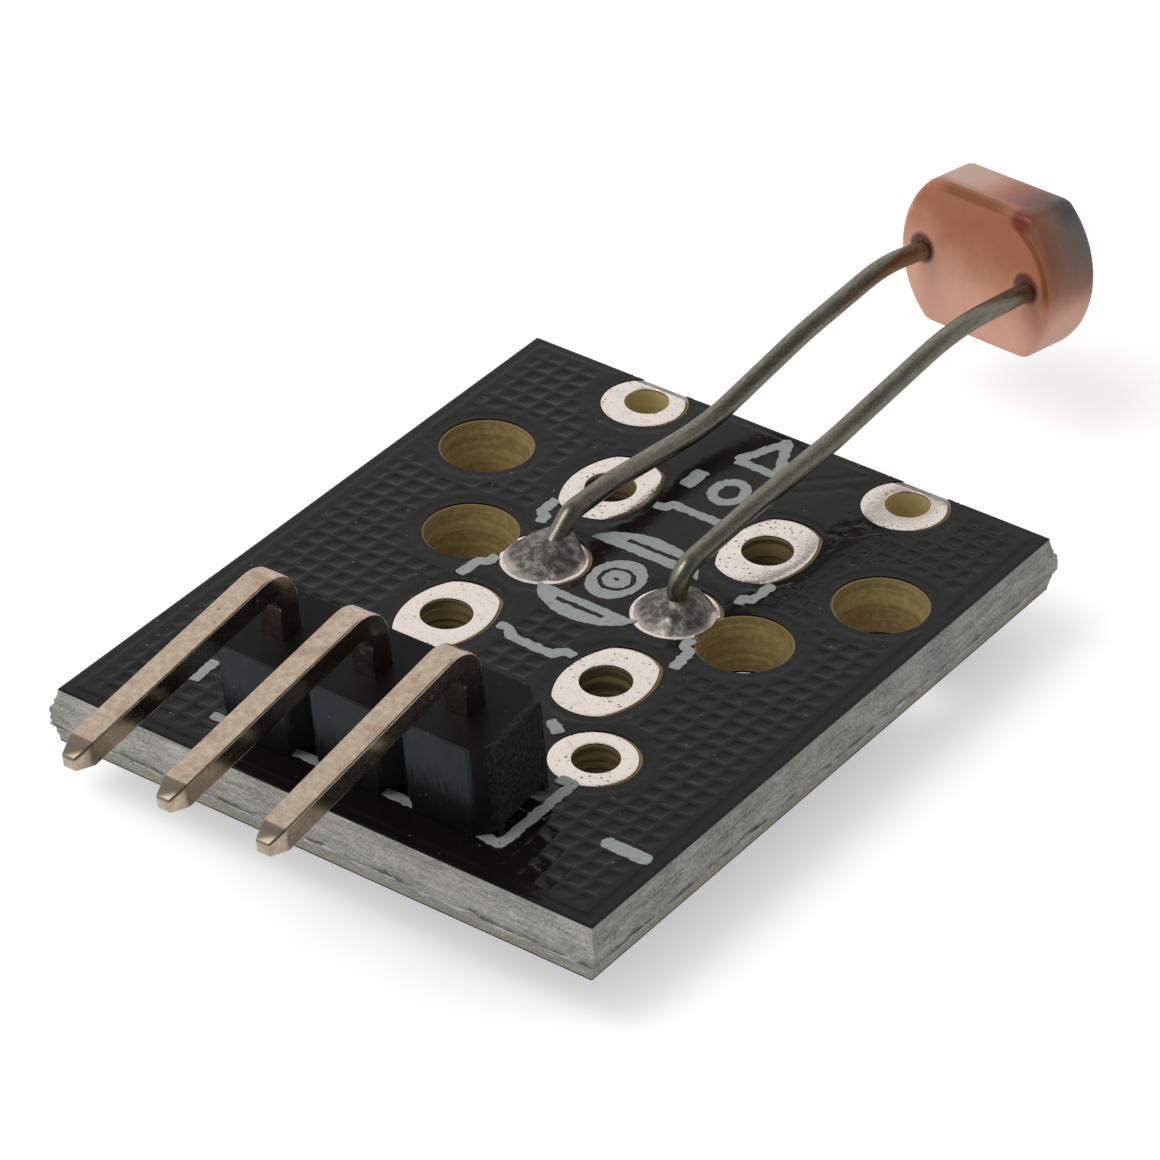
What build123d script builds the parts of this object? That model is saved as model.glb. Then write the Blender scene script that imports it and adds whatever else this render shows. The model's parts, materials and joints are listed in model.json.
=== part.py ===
from build123d import *
import os
from math import cos, radians, sin, tan

# A small light sensor module: a black circuit board with a three way pin header along its front
# edge and a photoresistor on two long bent leads that reaches out over the back edge.
# X runs along the pin row, Y from the header towards the sensor, Z up from the board's underside.

# Board: laminate core and a film of solder mask over foil on each face
board_width = 15.0
board_length = 18.5
laminate_thickness = 1.38
mask_thickness = 0.06
groove_depth = 0.42
groove_slope = 12.0
web_overhang = 0.07

# Plated pads: foil plate on both faces joined by a barrel. Drilling and foil are not quite in line.
pad_thickness = 0.05
plating = 0.05
foil_edge_gap = 0.19
mask_margin = 0.1
mask_shift = (0.05, 0.07)

# Bare holes, in two pairs
bare_hole_diameter = 2.25
bare_rim = 0.05
back_hole_spacing = 11.41
back_hole_x = 0.09
back_hole_y = 4.6
front_hole_spacing = 7.86
front_hole_x = 0.19
front_hole_y = 1.445

# Open pads of the other parts that the same board can take
switch_hole_diameter = 1.25
switch_pad_width = 2.07
switch_pad_length = 2.81
switch_side_arc = 2.13
switch_end_arc = 1.11
switch_spacing = 4.55
switch_pitch = 6.53
switch_x = 0.14
switch_back_y = 4.88
switch_foil_shift = (0.01, -0.03)
back_pad_hole = 1.1
back_pad_diameter = 2.07
back_pad_spacing = 7.62
back_pad_x = 0.2
back_pad_y = 8.46
back_foil_shift = (-0.03, -0.12)
single_pad_hole = 1.13
single_pad_diameter = 2.07
single_pad_x = 3.97
single_pad_y = -4.2
single_foil_shift = (-0.04, -0.06)

# Pin header
header_x = 0.1
header_y = -6.88
header_pitch = 2.54
header_ways = 3
header_height = 2.54
header_depth = 2.5
header_notch = 0.42
header_break = 0.1
header_lift = 0.16
header_lean = 6.85
header_yaw = 0.73
header_hole = 1.16
header_pad_diameter = 1.85
foot_height = 0.26
foot_channel = 1.5
foot_gap = 0.9
pin_side = 0.64
pin_top = 4.5
pin_reach = 7.35
pin_bend = 0.42
pin_taper_length = 0.5
pin_tip = 0.36
pin_turns = (0.0, 0.3, 1.3)

# Solder and the trimmed ends below the board. The dome's shoulder is given as shares: of its
# height, of its lean and of its radius.
stub_length = 1.3
solder_margin = 0.06
solder_height = 0.95
solder_waist = 0.3
solder_wrap = 0.16
solder_plug_gap = 0.12
solder_dome = 0.44
dome_leans = (0.44, 0.18)
dome_shoulder = (0.55, 0.4, 0.8)

# Sensor leads
lead_diameter = 0.5
sensor_pad_spacing = 3.76
sensor_pad_x = 0.25
sensor_pad_y = 1.59
sensor_foil_shift = (0.0, -0.1)
sensor_hole = 0.8
sensor_pad_diameter = 2.12
entry_bend = 2.0
# Each lead's bends: run from its hole towards the sensor, height over the board, bend radius
left_lead_runs = (0.0, 0.86, 2.41, 6.08, 9.9, 13.16)
left_lead_heights = (0.02, 0.81, 0.87, 0.61, 1.37, 1.75)
left_lead_radii = (0.35, 0.55, 4.0, 7.0, 14.0, 5.0)
right_lead_runs = (0.0, 2.89, 6.18, 11.2)
right_lead_heights = (1.08, 1.36, 1.54, 2.16)
right_lead_radii = (0.62, 8.0, 8.0, 9.0)

# Sensor body
sensor_centre = (0.945, 16.2, 3.055)
sensor_yaw = 8.7
sensor_pitch = -4.6
sensor_roll = 4.5
sensor_diameter = 5.0
sensor_across_flats = 3.85
sensor_thickness = 1.6
sensor_lead_pitch = 3.4
resin_wall = 0.14
resin_back = 0.4
resin_round = 0.12
resin_lip = 0.1
film_thickness = 0.03
electrode_margin = 0.3
track_gap = 0.24
track_bars = 5

# Chip resistor under the board. The solder fillet's lower edge and its hollow are shares of the
# resistor's height.
resistor_x = 0.0
resistor_y = -4.1
resistor_length = 2.0
resistor_width = 1.25
resistor_height = 0.5
cap_length = 0.38
cap_wall = 0.04
chip_pad_length = 1.1
chip_pad_width = 1.4
fillet_reach = 0.4
fillet_bottom = 0.25
fillet_hollow = 0.3

# Levels and places worked out from the sizes above
laminate_base = mask_thickness
laminate_top = mask_thickness + laminate_thickness
board_top = laminate_top + mask_thickness
pad_top = laminate_top + pad_thickness
pad_base = laminate_base - pad_thickness
groove_inset = groove_depth * tan(radians(groove_slope))
web_growth = 2 * (groove_inset + web_overhang)


def both(spacing):
    """Centres of a pair, left first."""
    return (-spacing / 2, spacing / 2)


bare_holes = [(back_hole_x + x, back_hole_y) for x in both(back_hole_spacing)]
bare_holes += [(front_hole_x + x, front_hole_y) for x in both(front_hole_spacing)]
switch_front_y = switch_back_y - switch_pitch
sensor_pads = [(sensor_pad_x + x, sensor_pad_y) for x in both(sensor_pad_spacing)]
pin_offsets = [(i - (header_ways - 1) / 2) * header_pitch for i in range(header_ways)]
header_pads = [(header_x + x * cos(radians(header_yaw)), header_y + x * sin(radians(header_yaw)))
               for x in pin_offsets]

# Each plated pad: name, place and size of its hole, diameter of its foil (None for the bowed ones)
# and how far the foil's middle lies from the hole's
sides = list(zip(("left", "right"), (-1, 1)))
plated_pads = [(f"pad_back_{side}", (back_pad_x + sign * back_pad_spacing / 2, back_pad_y),
                back_pad_hole, back_pad_diameter, back_foil_shift) for side, sign in sides]
plated_pads += [(f"pad_switch_{row}_{side}", (switch_x + sign * switch_spacing / 2, row_y),
                 switch_hole_diameter, None, switch_foil_shift)
                for row, row_y in (("back", switch_back_y), ("front", switch_front_y))
                for side, sign in sides]
plated_pads += [("pad_single", (single_pad_x, single_pad_y), single_pad_hole, single_pad_diameter,
                 single_foil_shift)]
plated_pads += [(f"pad_sensor_{side}", place, sensor_hole, sensor_pad_diameter, sensor_foil_shift)
                for (side, _), place in zip(sides, sensor_pads)]
plated_pads += [(f"pad_header_{i + 1}", place, header_hole, header_pad_diameter, (0.0, 0.0))
                for i, place in enumerate(header_pads)]
chip_pads = [(resistor_x + x, resistor_y)
             for x in both(resistor_length + fillet_reach * 2 - chip_pad_length)]

# The leaning header's own frame, with its origin at the middle of its underside
header_drop = header_lift + mask_thickness + laminate_thickness / 2
header_plane = Plane(Location(
    (header_x, header_y - header_drop * tan(radians(header_lean)), board_top + header_lift),
    (header_lean, 0, header_yaw)))

# The sensor's own frame: origin at its lead side, X along the pair of leads, Z away from the leads
yaw, pitch, roll = (radians(a) for a in (sensor_yaw, sensor_pitch, sensor_roll))
sensor_axis = Vector(sin(yaw) * cos(pitch), cos(yaw) * cos(pitch), sin(pitch))
sensor_level = Vector(cos(yaw), -sin(yaw), 0)
sensor_row = sensor_level * cos(roll) + sensor_level.cross(sensor_axis) * sin(roll)
sensor_plane = Plane(origin=sensor_centre, x_dir=sensor_row, z_dir=sensor_axis)


def save(piece, label):
    """Label a finished piece and write it to its own file."""
    piece.part.label = label
    export_step(piece.part, f"parts/{label}.step")


def foil_outline(diameter):
    """The foil of one pad about its own middle: a disc, or a slot between two bowed sides."""
    bow = switch_side_arc - switch_pad_width / 2
    with BuildSketch() as outline:
        if diameter is None:
            SlotOverall(switch_pad_length, 2 * switch_end_arc, rotation=90)
            with Locations((-bow, 0)):
                Circle(switch_side_arc, mode=Mode.INTERSECT)
            with Locations((bow, 0)):
                Circle(switch_side_arc, mode=Mode.INTERSECT)
        else:
            Circle(diameter / 2)
    return outline.sketch


def opening_outline(diameter):
    """The opening in the mask over one pad about its own middle."""
    with BuildSketch() as outline:
        add(foil_outline(diameter))
        offset(amount=mask_margin)
    return outline.sketch


def mask_film(level, chip):
    """One film of mask with its openings, which sit a little off the pads they bare."""
    with BuildPart() as film:
        with BuildSketch(Plane.XY.offset(level)):
            Rectangle(board_width, board_length)
            with Locations(*bare_holes):
                Circle(bare_hole_diameter / 2 + bare_rim, mode=Mode.SUBTRACT)
            for _, place, _, diameter, shift in plated_pads:
                with Locations(Vector(*place) + Vector(*shift) + Vector(*mask_shift)):
                    add(opening_outline(diameter), mode=Mode.SUBTRACT)
            if chip:
                with Locations(*chip_pads):
                    Rectangle(chip_pad_length + mask_margin, chip_pad_width + mask_margin,
                              mode=Mode.SUBTRACT)
        extrude(amount=mask_thickness)
    return film


os.makedirs("parts", exist_ok=True)

# Laminate core: scored along each edge from both faces, snapped at the web between the scores
with BuildPart() as laminate:
    with BuildSketch(Plane.XY.offset(laminate_top)):
        Rectangle(board_width, board_length)
    extrude(amount=-groove_depth, taper=-groove_slope)
    with BuildSketch(Plane.XY.offset(laminate_base)):
        Rectangle(board_width, board_length)
    extrude(amount=groove_depth, taper=-groove_slope)
    with BuildSketch(Plane.XY.offset(laminate_base + groove_depth)):
        Rectangle(board_width + web_growth, board_length + web_growth)
    extrude(amount=laminate_thickness - 2 * groove_depth)
    with BuildSketch(Plane.XY.offset(laminate_base)):
        with Locations(*bare_holes):
            Circle(bare_hole_diameter / 2)
        for _, place, hole, _, _ in plated_pads:
            with Locations(place):
                Circle(hole / 2 + plating)
    extrude(amount=laminate_thickness, mode=Mode.SUBTRACT)
save(laminate, "laminate")

# Solder mask on the top and on the underside
mask_top = mask_film(laminate_top, chip=False)
save(mask_top, "mask_top")
mask_bottom = mask_film(0, chip=True)
save(mask_bottom, "mask_bottom")

# Plated pads: a plate on each face and the barrel through the board
for pad_name, pad_place, pad_hole, foil_diameter, foil_shift in plated_pads:
    with BuildPart() as pad:
        for pad_level in (pad_base, laminate_top):
            with BuildSketch(Plane.XY.offset(pad_level)):
                with Locations(Vector(*pad_place) + Vector(*foil_shift)):
                    add(foil_outline(foil_diameter))
                Rectangle(board_width - 2 * foil_edge_gap, board_length - 2 * foil_edge_gap,
                          mode=Mode.INTERSECT)
                with Locations(*bare_holes):
                    Circle(bare_hole_diameter / 2 + bare_rim, mode=Mode.SUBTRACT)
            extrude(amount=pad_thickness)
        with BuildSketch(Plane.XY.offset(laminate_base)):
            with Locations(pad_place):
                Circle(pad_hole / 2 + plating)
        extrude(amount=laminate_thickness)
        with BuildSketch(Plane.XY.offset(pad_base)):
            with Locations(pad_place):
                Circle(pad_hole / 2)
        extrude(amount=laminate_thickness + 2 * pad_thickness, mode=Mode.SUBTRACT)
    save(pad, pad_name)

# Header housing: notched between its ways, with feet and channels below and square pin holes
housing_length = header_ways * header_pitch
with BuildPart() as header_housing:
    with BuildSketch(header_plane):
        Rectangle(housing_length, header_depth)
        with Locations(((housing_length + header_break) / 2, 0)):
            Rectangle(header_break, header_depth - header_notch)
        notch_columns = [(i - header_ways / 2) * header_pitch for i in range(header_ways + 1)]
        with Locations(*[(x, y) for x in notch_columns for y in both(header_depth)]):
            Rectangle(header_notch * 2**0.5, header_notch * 2**0.5, rotation=45, mode=Mode.SUBTRACT)
    extrude(amount=header_height)
    with BuildSketch(header_plane):
        Rectangle(housing_length + 2 * header_break, foot_channel)
        with Locations(*[(x, 0) for x in notch_columns[1:-1]]):
            Rectangle(foot_gap, header_depth)
    extrude(amount=foot_height, mode=Mode.SUBTRACT)
    with BuildSketch(header_plane):
        with Locations(*[(x, 0) for x in pin_offsets]):
            Rectangle(pin_side, pin_side)
    extrude(amount=header_height, mode=Mode.SUBTRACT)
save(header_housing, "header_housing")


def pin_side_plane(pin_x, turn):
    """Upright plane through one pin in the leaning frame, X towards the pin's tip and Y up."""
    towards_tip = Vector(0, -1, 0).rotate(Axis.Z, turn)
    side = Plane(origin=(pin_x, 0, 0), x_dir=towards_tip, z_dir=towards_tip.cross(Vector(0, 0, 1)))
    return header_plane * side.location


def pin_middle(pin_x, level):
    """Middle of a leaning pin where it crosses a level."""
    along = (level - header_plane.origin.Z) / header_plane.z_dir.Z
    middle = header_plane.from_local_coords((pin_x, 0, along))
    return (middle.X, middle.Y)


# Pins: square wire that stands through the housing and turns forwards over the board's edge
header_pins = []
pin_foot = -(board_top + header_lift + stub_length) / cos(radians(header_lean))
pin_middle_height = pin_top - pin_side / 2
pin_chamfer = (pin_side - pin_tip) / 2
pin_corner = pin_side / 2**0.5
for pin_number, (pin_x, turn) in enumerate(zip(pin_offsets, pin_turns), start=1):
    side_plane = Plane(pin_side_plane(pin_x, turn))
    with BuildPart() as header_pin:
        with BuildLine(side_plane) as pin_route:
            FilletPolyline((0, pin_foot), (0, pin_middle_height), (pin_reach, pin_middle_height),
                           radius=pin_bend + pin_side / 2)
        with BuildSketch(header_plane.offset(pin_foot)):
            with Locations((pin_x, 0)):
                Rectangle(pin_side, pin_side)
        sweep(path=pin_route.wire())
        tip_face = header_pin.faces().sort_by(Axis(side_plane.origin, side_plane.x_dir))[-1]
        chamfer(tip_face.edges(), length=pin_chamfer, length2=pin_taper_length, reference=tip_face)
        foot_face = header_pin.faces().sort_by(Axis(header_plane.origin, header_plane.z_dir))[0]
        chamfer(foot_face.edges(), length=pin_chamfer)
    header_pins.append(header_pin)
    save(header_pin, f"header_pin_{pin_number}")

# Header joints: solder that fills each barrel and draws down its pin in a cone
for pin_number, (pin_x, place, header_pin) in enumerate(zip(pin_offsets, header_pads, header_pins), start=1):
    with BuildPart() as header_joint:
        cone_sections = (
            (pad_base, place, header_pad_diameter / 2 - solder_margin),
            (pad_base - solder_waist, pin_middle(pin_x, -solder_waist), pin_side / 2 + 2 * solder_wrap),
            (-solder_height, pin_middle(pin_x, -solder_height), pin_corner + solder_margin),
        )
        for level, middle, radius in cone_sections:
            with BuildSketch(Plane.XY.offset(level)):
                with Locations(middle):
                    Circle(radius)
        loft(ruled=True)
        with BuildSketch(Plane.XY.offset(pad_base)):
            with Locations(place):
                Circle(header_hole / 2)
        extrude(amount=pad_top - pad_base - solder_plug_gap)
        add(header_pin.part, mode=Mode.SUBTRACT)
    save(header_joint, f"header_joint_{pin_number}")

# Sensor leads: round wire from a trimmed end under the board, over its back edge, into the sensor
front_level = sensor_thickness - resin_lip
lead_data = (("left", -1, left_lead_runs, left_lead_heights, left_lead_radii),
             ("right", 1, right_lead_runs, right_lead_heights, right_lead_radii))
sensor_leads = {}
for (side, sign, runs, heights, radii), pad_place in zip(lead_data, sensor_pads):
    entry = sensor_plane.from_local_coords((sign * sensor_lead_pitch / 2, 0, 0))
    ahead = Vector(entry.X - pad_place[0], entry.Y - pad_place[1], 0)
    lead_plane = Plane(origin=(*pad_place, 0), x_dir=ahead, z_dir=ahead.cross(Vector(0, 0, 1)))
    reach = ahead.length
    depth = front_level + lead_diameter
    route = [(0, -stub_length)] + [(run, board_top + height) for run, height in zip(runs, heights)]
    route += [(reach, entry.Z), (reach + depth, entry.Z + depth * sensor_axis.Z)]
    with BuildPart() as lead:
        with BuildLine(lead_plane) as lead_route:
            FilletPolyline(*route, radius=(*radii, entry_bend))
        with BuildSketch(Plane.XY.offset(-stub_length)):
            with Locations(pad_place):
                Circle(lead_diameter / 2)
        sweep(path=lead_route.wire())
        split(bisect_by=sensor_plane.offset(front_level), keep=Keep.BOTTOM)
    sensor_leads[side] = lead
    save(lead, f"sensor_lead_{side}")

# Sensor joints: a low dome on the board, a filled barrel and a cone below, all round the lead
for (side, lead), pad_place, dome_lean in zip(sensor_leads.items(), sensor_pads, dome_leans):
    foil_middle = Vector(*pad_place) + Vector(*sensor_foil_shift)
    joint_radius = sensor_pad_diameter / 2 - solder_margin
    wrap_radius = lead_diameter / 2 + solder_wrap
    with BuildPart() as sensor_joint:
        up, over, in_share = dome_shoulder
        dome_sections = (
            (0, 0, joint_radius),
            (solder_dome * up, dome_lean * over, joint_radius * in_share),
            (solder_dome, dome_lean, wrap_radius),
        )
        for height, shift, radius in dome_sections:
            with BuildSketch(Plane.XY.offset(pad_top + height)):
                with Locations(foil_middle + Vector(0, shift)):
                    Circle(radius)
        loft(ruled=True)
        with BuildSketch(Plane.XZ.offset(-pad_place[1])):
            with BuildLine():
                shoulder = (pad_place[0] + joint_radius + sensor_foil_shift[1], pad_base)
                tip = (pad_place[0] + lead_diameter / 2 + solder_margin, -solder_height)
                waist = (pad_place[0] + wrap_radius, pad_base - solder_waist)
                Polyline(shoulder, waist, tip, (pad_place[0], -solder_height), (pad_place[0], pad_top),
                         (pad_place[0] + sensor_hole / 2, pad_top),
                         (pad_place[0] + sensor_hole / 2, pad_base), close=True)
            make_face()
        revolve(axis=Axis((*pad_place, 0), (0, 0, 1)))
        with BuildSketch(Plane.XY.offset(pad_top)):
            with Locations(*bare_holes):
                Circle(bare_hole_diameter / 2 + bare_rim)
        extrude(amount=solder_dome, mode=Mode.SUBTRACT)
        add(lead.part, mode=Mode.SUBTRACT)
    save(sensor_joint, f"sensor_joint_{side}")


def flatted_disc(diameter, across):
    """A disc with two flats, the flats parallel to the pair of leads."""
    with BuildSketch() as outline:
        Circle(diameter / 2)
        Rectangle(diameter, across, mode=Mode.INTERSECT)
    return outline.sketch


# Sensor resin: a cup that closes the lead side and the rim, open at the sensing face
core_diameter = sensor_diameter - 2 * resin_wall
core_across = sensor_across_flats - 2 * resin_wall
with BuildPart() as sensor_resin:
    with BuildSketch(sensor_plane):
        add(flatted_disc(sensor_diameter, sensor_across_flats))
    extrude(amount=sensor_thickness)
    with BuildSketch(sensor_plane.offset(resin_back)):
        add(flatted_disc(core_diameter, core_across))
    extrude(amount=sensor_thickness, mode=Mode.SUBTRACT)
    for lead in sensor_leads.values():
        add(lead.part, mode=Mode.SUBTRACT)
    back_face = sensor_resin.faces().sort_by(Axis(sensor_plane.origin, sensor_axis))[0]
    fillet(back_face.outer_wire().edges(), resin_round)
save(sensor_resin, "sensor_resin")

# Sensor base: the ceramic disc that the leads pass through
with BuildPart() as sensor_base:
    with BuildSketch(sensor_plane.offset(resin_back)):
        add(flatted_disc(core_diameter, core_across))
    extrude(amount=front_level - resin_back)
    for lead in sensor_leads.values():
        add(lead.part, mode=Mode.SUBTRACT)
save(sensor_base, "sensor_base")

# Light sensitive film on the ceramic's face, and two metal combs on it that leave a winding track
with BuildPart() as sensor_film:
    with BuildSketch(sensor_plane.offset(front_level)):
        add(flatted_disc(core_diameter, core_across))
    extrude(amount=film_thickness)
save(sensor_film, "sensor_film")

comb_across = core_across - electrode_margin
comb_diameter = core_diameter - electrode_margin
bar_step = comb_across / (track_bars + 1)
bar_half = comb_diameter / 2 - 2 * track_gap - bar_step / 2
with BuildPart() as combs:
    with BuildSketch(sensor_plane.offset(front_level + film_thickness)):
        add(flatted_disc(comb_diameter, comb_across))
        for bar in range(track_bars):
            level = (bar - (track_bars - 1) / 2) * bar_step
            with Locations((0, level)):
                Rectangle(2 * bar_half + track_gap, track_gap, mode=Mode.SUBTRACT)
            if bar < track_bars - 1:
                with Locations((bar_half * (-1) ** bar, level + bar_step / 2)):
                    Rectangle(track_gap, bar_step, mode=Mode.SUBTRACT)
        for sign, bar in ((-1, 0), ((-1) ** track_bars * -1, track_bars - 1)):
            with Locations((sign * comb_diameter / 2, (bar - (track_bars - 1) / 2) * bar_step)):
                Rectangle(comb_diameter - 2 * bar_half + track_gap, track_gap, mode=Mode.SUBTRACT)
    extrude(amount=film_thickness)
comb_order = Axis(sensor_plane.origin, sensor_plane.x_dir)
for side, comb in zip(("left", "right"), combs.solids().sort_by(comb_order)):
    with BuildPart() as sensor_electrode:
        add(comb)
    save(sensor_electrode, f"sensor_electrode_{side}")

# Chip resistor on the underside: body, wrapped end caps, solder fillets and their foil pads
chip_top = pad_base
chip_bottom = pad_base - resistor_height
with BuildPart() as resistor_body:
    with BuildSketch(Plane.XY.offset(chip_bottom + cap_wall)):
        with Locations((resistor_x, resistor_y)):
            Rectangle(resistor_length - 2 * cap_wall, resistor_width)
    extrude(amount=resistor_height - 2 * cap_wall)
save(resistor_body, "resistor_body")

for (side, sign), chip_pad in zip(sides, chip_pads):
    end_x = resistor_x + sign * resistor_length / 2
    with BuildPart() as resistor_cap:
        with BuildSketch(Plane.XY.offset(chip_bottom)):
            with Locations((end_x - sign * cap_length / 2, resistor_y)):
                Rectangle(cap_length, resistor_width)
        extrude(amount=resistor_height)
        add(resistor_body.part, mode=Mode.SUBTRACT)
    save(resistor_cap, f"resistor_cap_{side}")

    with BuildPart() as resistor_solder:
        with BuildSketch(Plane.XZ.offset(-resistor_y - resistor_width / 2)):
            with BuildLine():
                cap_edge = (end_x, chip_bottom + resistor_height * fillet_bottom)
                pad_edge = (end_x + sign * (fillet_reach - solder_margin), chip_top)
                hollow = (end_x + sign * fillet_reach * fillet_hollow,
                          chip_top - resistor_height * fillet_hollow)
                ThreePointArc(cap_edge, hollow, pad_edge)
                Polyline(pad_edge, (end_x, chip_top), cap_edge)
            make_face()
        extrude(amount=resistor_width)
    save(resistor_solder, f"resistor_solder_{side}")

    with BuildPart() as pad_resistor:
        with BuildSketch(Plane.XY.offset(pad_base)):
            with Locations(chip_pad):
                Rectangle(chip_pad_length, chip_pad_width)
        extrude(amount=pad_thickness)
    save(pad_resistor, f"pad_resistor_{side}")
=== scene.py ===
import json
import logging
import math
from dataclasses import dataclass, field
from enum import Enum
from typing import Any, Callable, Optional, Sequence

import bpy
import numpy as np
from mathutils import Matrix, Vector, noise

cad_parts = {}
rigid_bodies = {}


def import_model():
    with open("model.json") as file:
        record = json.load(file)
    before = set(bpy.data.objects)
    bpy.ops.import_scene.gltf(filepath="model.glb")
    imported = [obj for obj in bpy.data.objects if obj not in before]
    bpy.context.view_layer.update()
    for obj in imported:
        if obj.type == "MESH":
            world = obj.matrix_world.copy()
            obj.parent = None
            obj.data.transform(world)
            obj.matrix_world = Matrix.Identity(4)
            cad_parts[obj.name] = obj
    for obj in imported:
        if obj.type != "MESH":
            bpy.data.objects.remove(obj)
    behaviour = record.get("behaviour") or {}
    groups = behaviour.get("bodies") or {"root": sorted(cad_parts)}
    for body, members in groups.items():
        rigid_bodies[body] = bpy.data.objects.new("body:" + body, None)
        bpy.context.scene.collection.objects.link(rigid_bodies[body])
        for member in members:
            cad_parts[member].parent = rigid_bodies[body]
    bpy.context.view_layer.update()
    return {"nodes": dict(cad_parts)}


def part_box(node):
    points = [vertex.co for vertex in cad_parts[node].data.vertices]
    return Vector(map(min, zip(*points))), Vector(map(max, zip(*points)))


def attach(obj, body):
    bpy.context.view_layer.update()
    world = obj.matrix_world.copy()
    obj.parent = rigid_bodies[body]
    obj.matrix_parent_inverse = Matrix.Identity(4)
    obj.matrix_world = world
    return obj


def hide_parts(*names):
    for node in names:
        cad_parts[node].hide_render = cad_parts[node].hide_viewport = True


# A small light sensor module: a black circuit board with a three way pin header along its front
# edge and a photoresistor on two long bent leads. Shapes are modelled in millimetres, in the
# frame of the solids, and each finished mesh is then brought to metres.
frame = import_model()

MM = 0.001
LOG = logging.getLogger("light_sensor")
Array = np.ndarray


class Side(Enum):
    """The two faces of the board."""

    TOP = 1
    BOTTOM = -1


# Shader graphs


def operator(operation: str, swapped: bool = False) -> Callable[..., "Wire"]:
    """Make a method of Wire that adds one Math node.

    Args:
        operation: The node's operation.
        swapped: Whether the other value comes first, as a number on the left does.

    Returns:
        The method.
    """
    def method(wire: "Wire", other: Any = 0.0) -> "Wire":
        """Add the node and give the wire of its result."""
        values = dict(enumerate((other, wire) if swapped else (wire, other)))
        return wire.graph.node("ShaderNodeMath", {"operation": operation}, values)["Value"]

    return method


class Wire:
    """A socket in a material whose arithmetic adds Math nodes."""

    __add__ = __radd__ = operator("ADD")
    __sub__ = operator("SUBTRACT")
    __rsub__ = operator("SUBTRACT", swapped=True)
    __mul__ = __rmul__ = operator("MULTIPLY")
    __pow__ = operator("POWER")
    __abs__ = operator("ABSOLUTE")
    lower = operator("MINIMUM")
    higher = operator("MAXIMUM")

    def __init__(self, graph: "Graph", socket: bpy.types.NodeSocket) -> None:
        """Keep the graph and the socket that carries the value."""
        self.graph = graph
        self.socket = socket

    def rise(self, start: float, end: float) -> "Wire":
        """Map this value to a soft step.

        Args:
            start: The value at which the result is 0.
            end: The value at which the result is 1, above or below start.

        Returns:
            The step, from 0 to 1.
        """
        if start > end:
            return 1.0 - self.rise(end, start)
        values = {"Value": self, "From Min": start, "From Max": end}
        settings = {"interpolation_type": "SMOOTHSTEP"}
        return self.graph.node("ShaderNodeMapRange", settings, values)["Result"]


class Placed:
    """A node that was added to a graph."""

    def __init__(self, graph: "Graph", node: bpy.types.Node) -> None:
        """Keep the graph and the node."""
        self.graph = graph
        self.node = node

    def __getitem__(self, name: str) -> Wire:
        """The wire of the output with this identifier or name."""
        return Wire(self.graph, find_socket(self.node.outputs, name))


def find_socket(sockets: Any, key: Any) -> bpy.types.NodeSocket:
    """Find a socket.

    Args:
        sockets: A node's inputs or outputs.
        key: Its place in the list, its identifier or its name.

    Returns:
        The socket.
    """
    if isinstance(key, int):
        return sockets[key]
    for socket in sockets:
        if socket.identifier == key:
            return socket
    return sockets[key]


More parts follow.
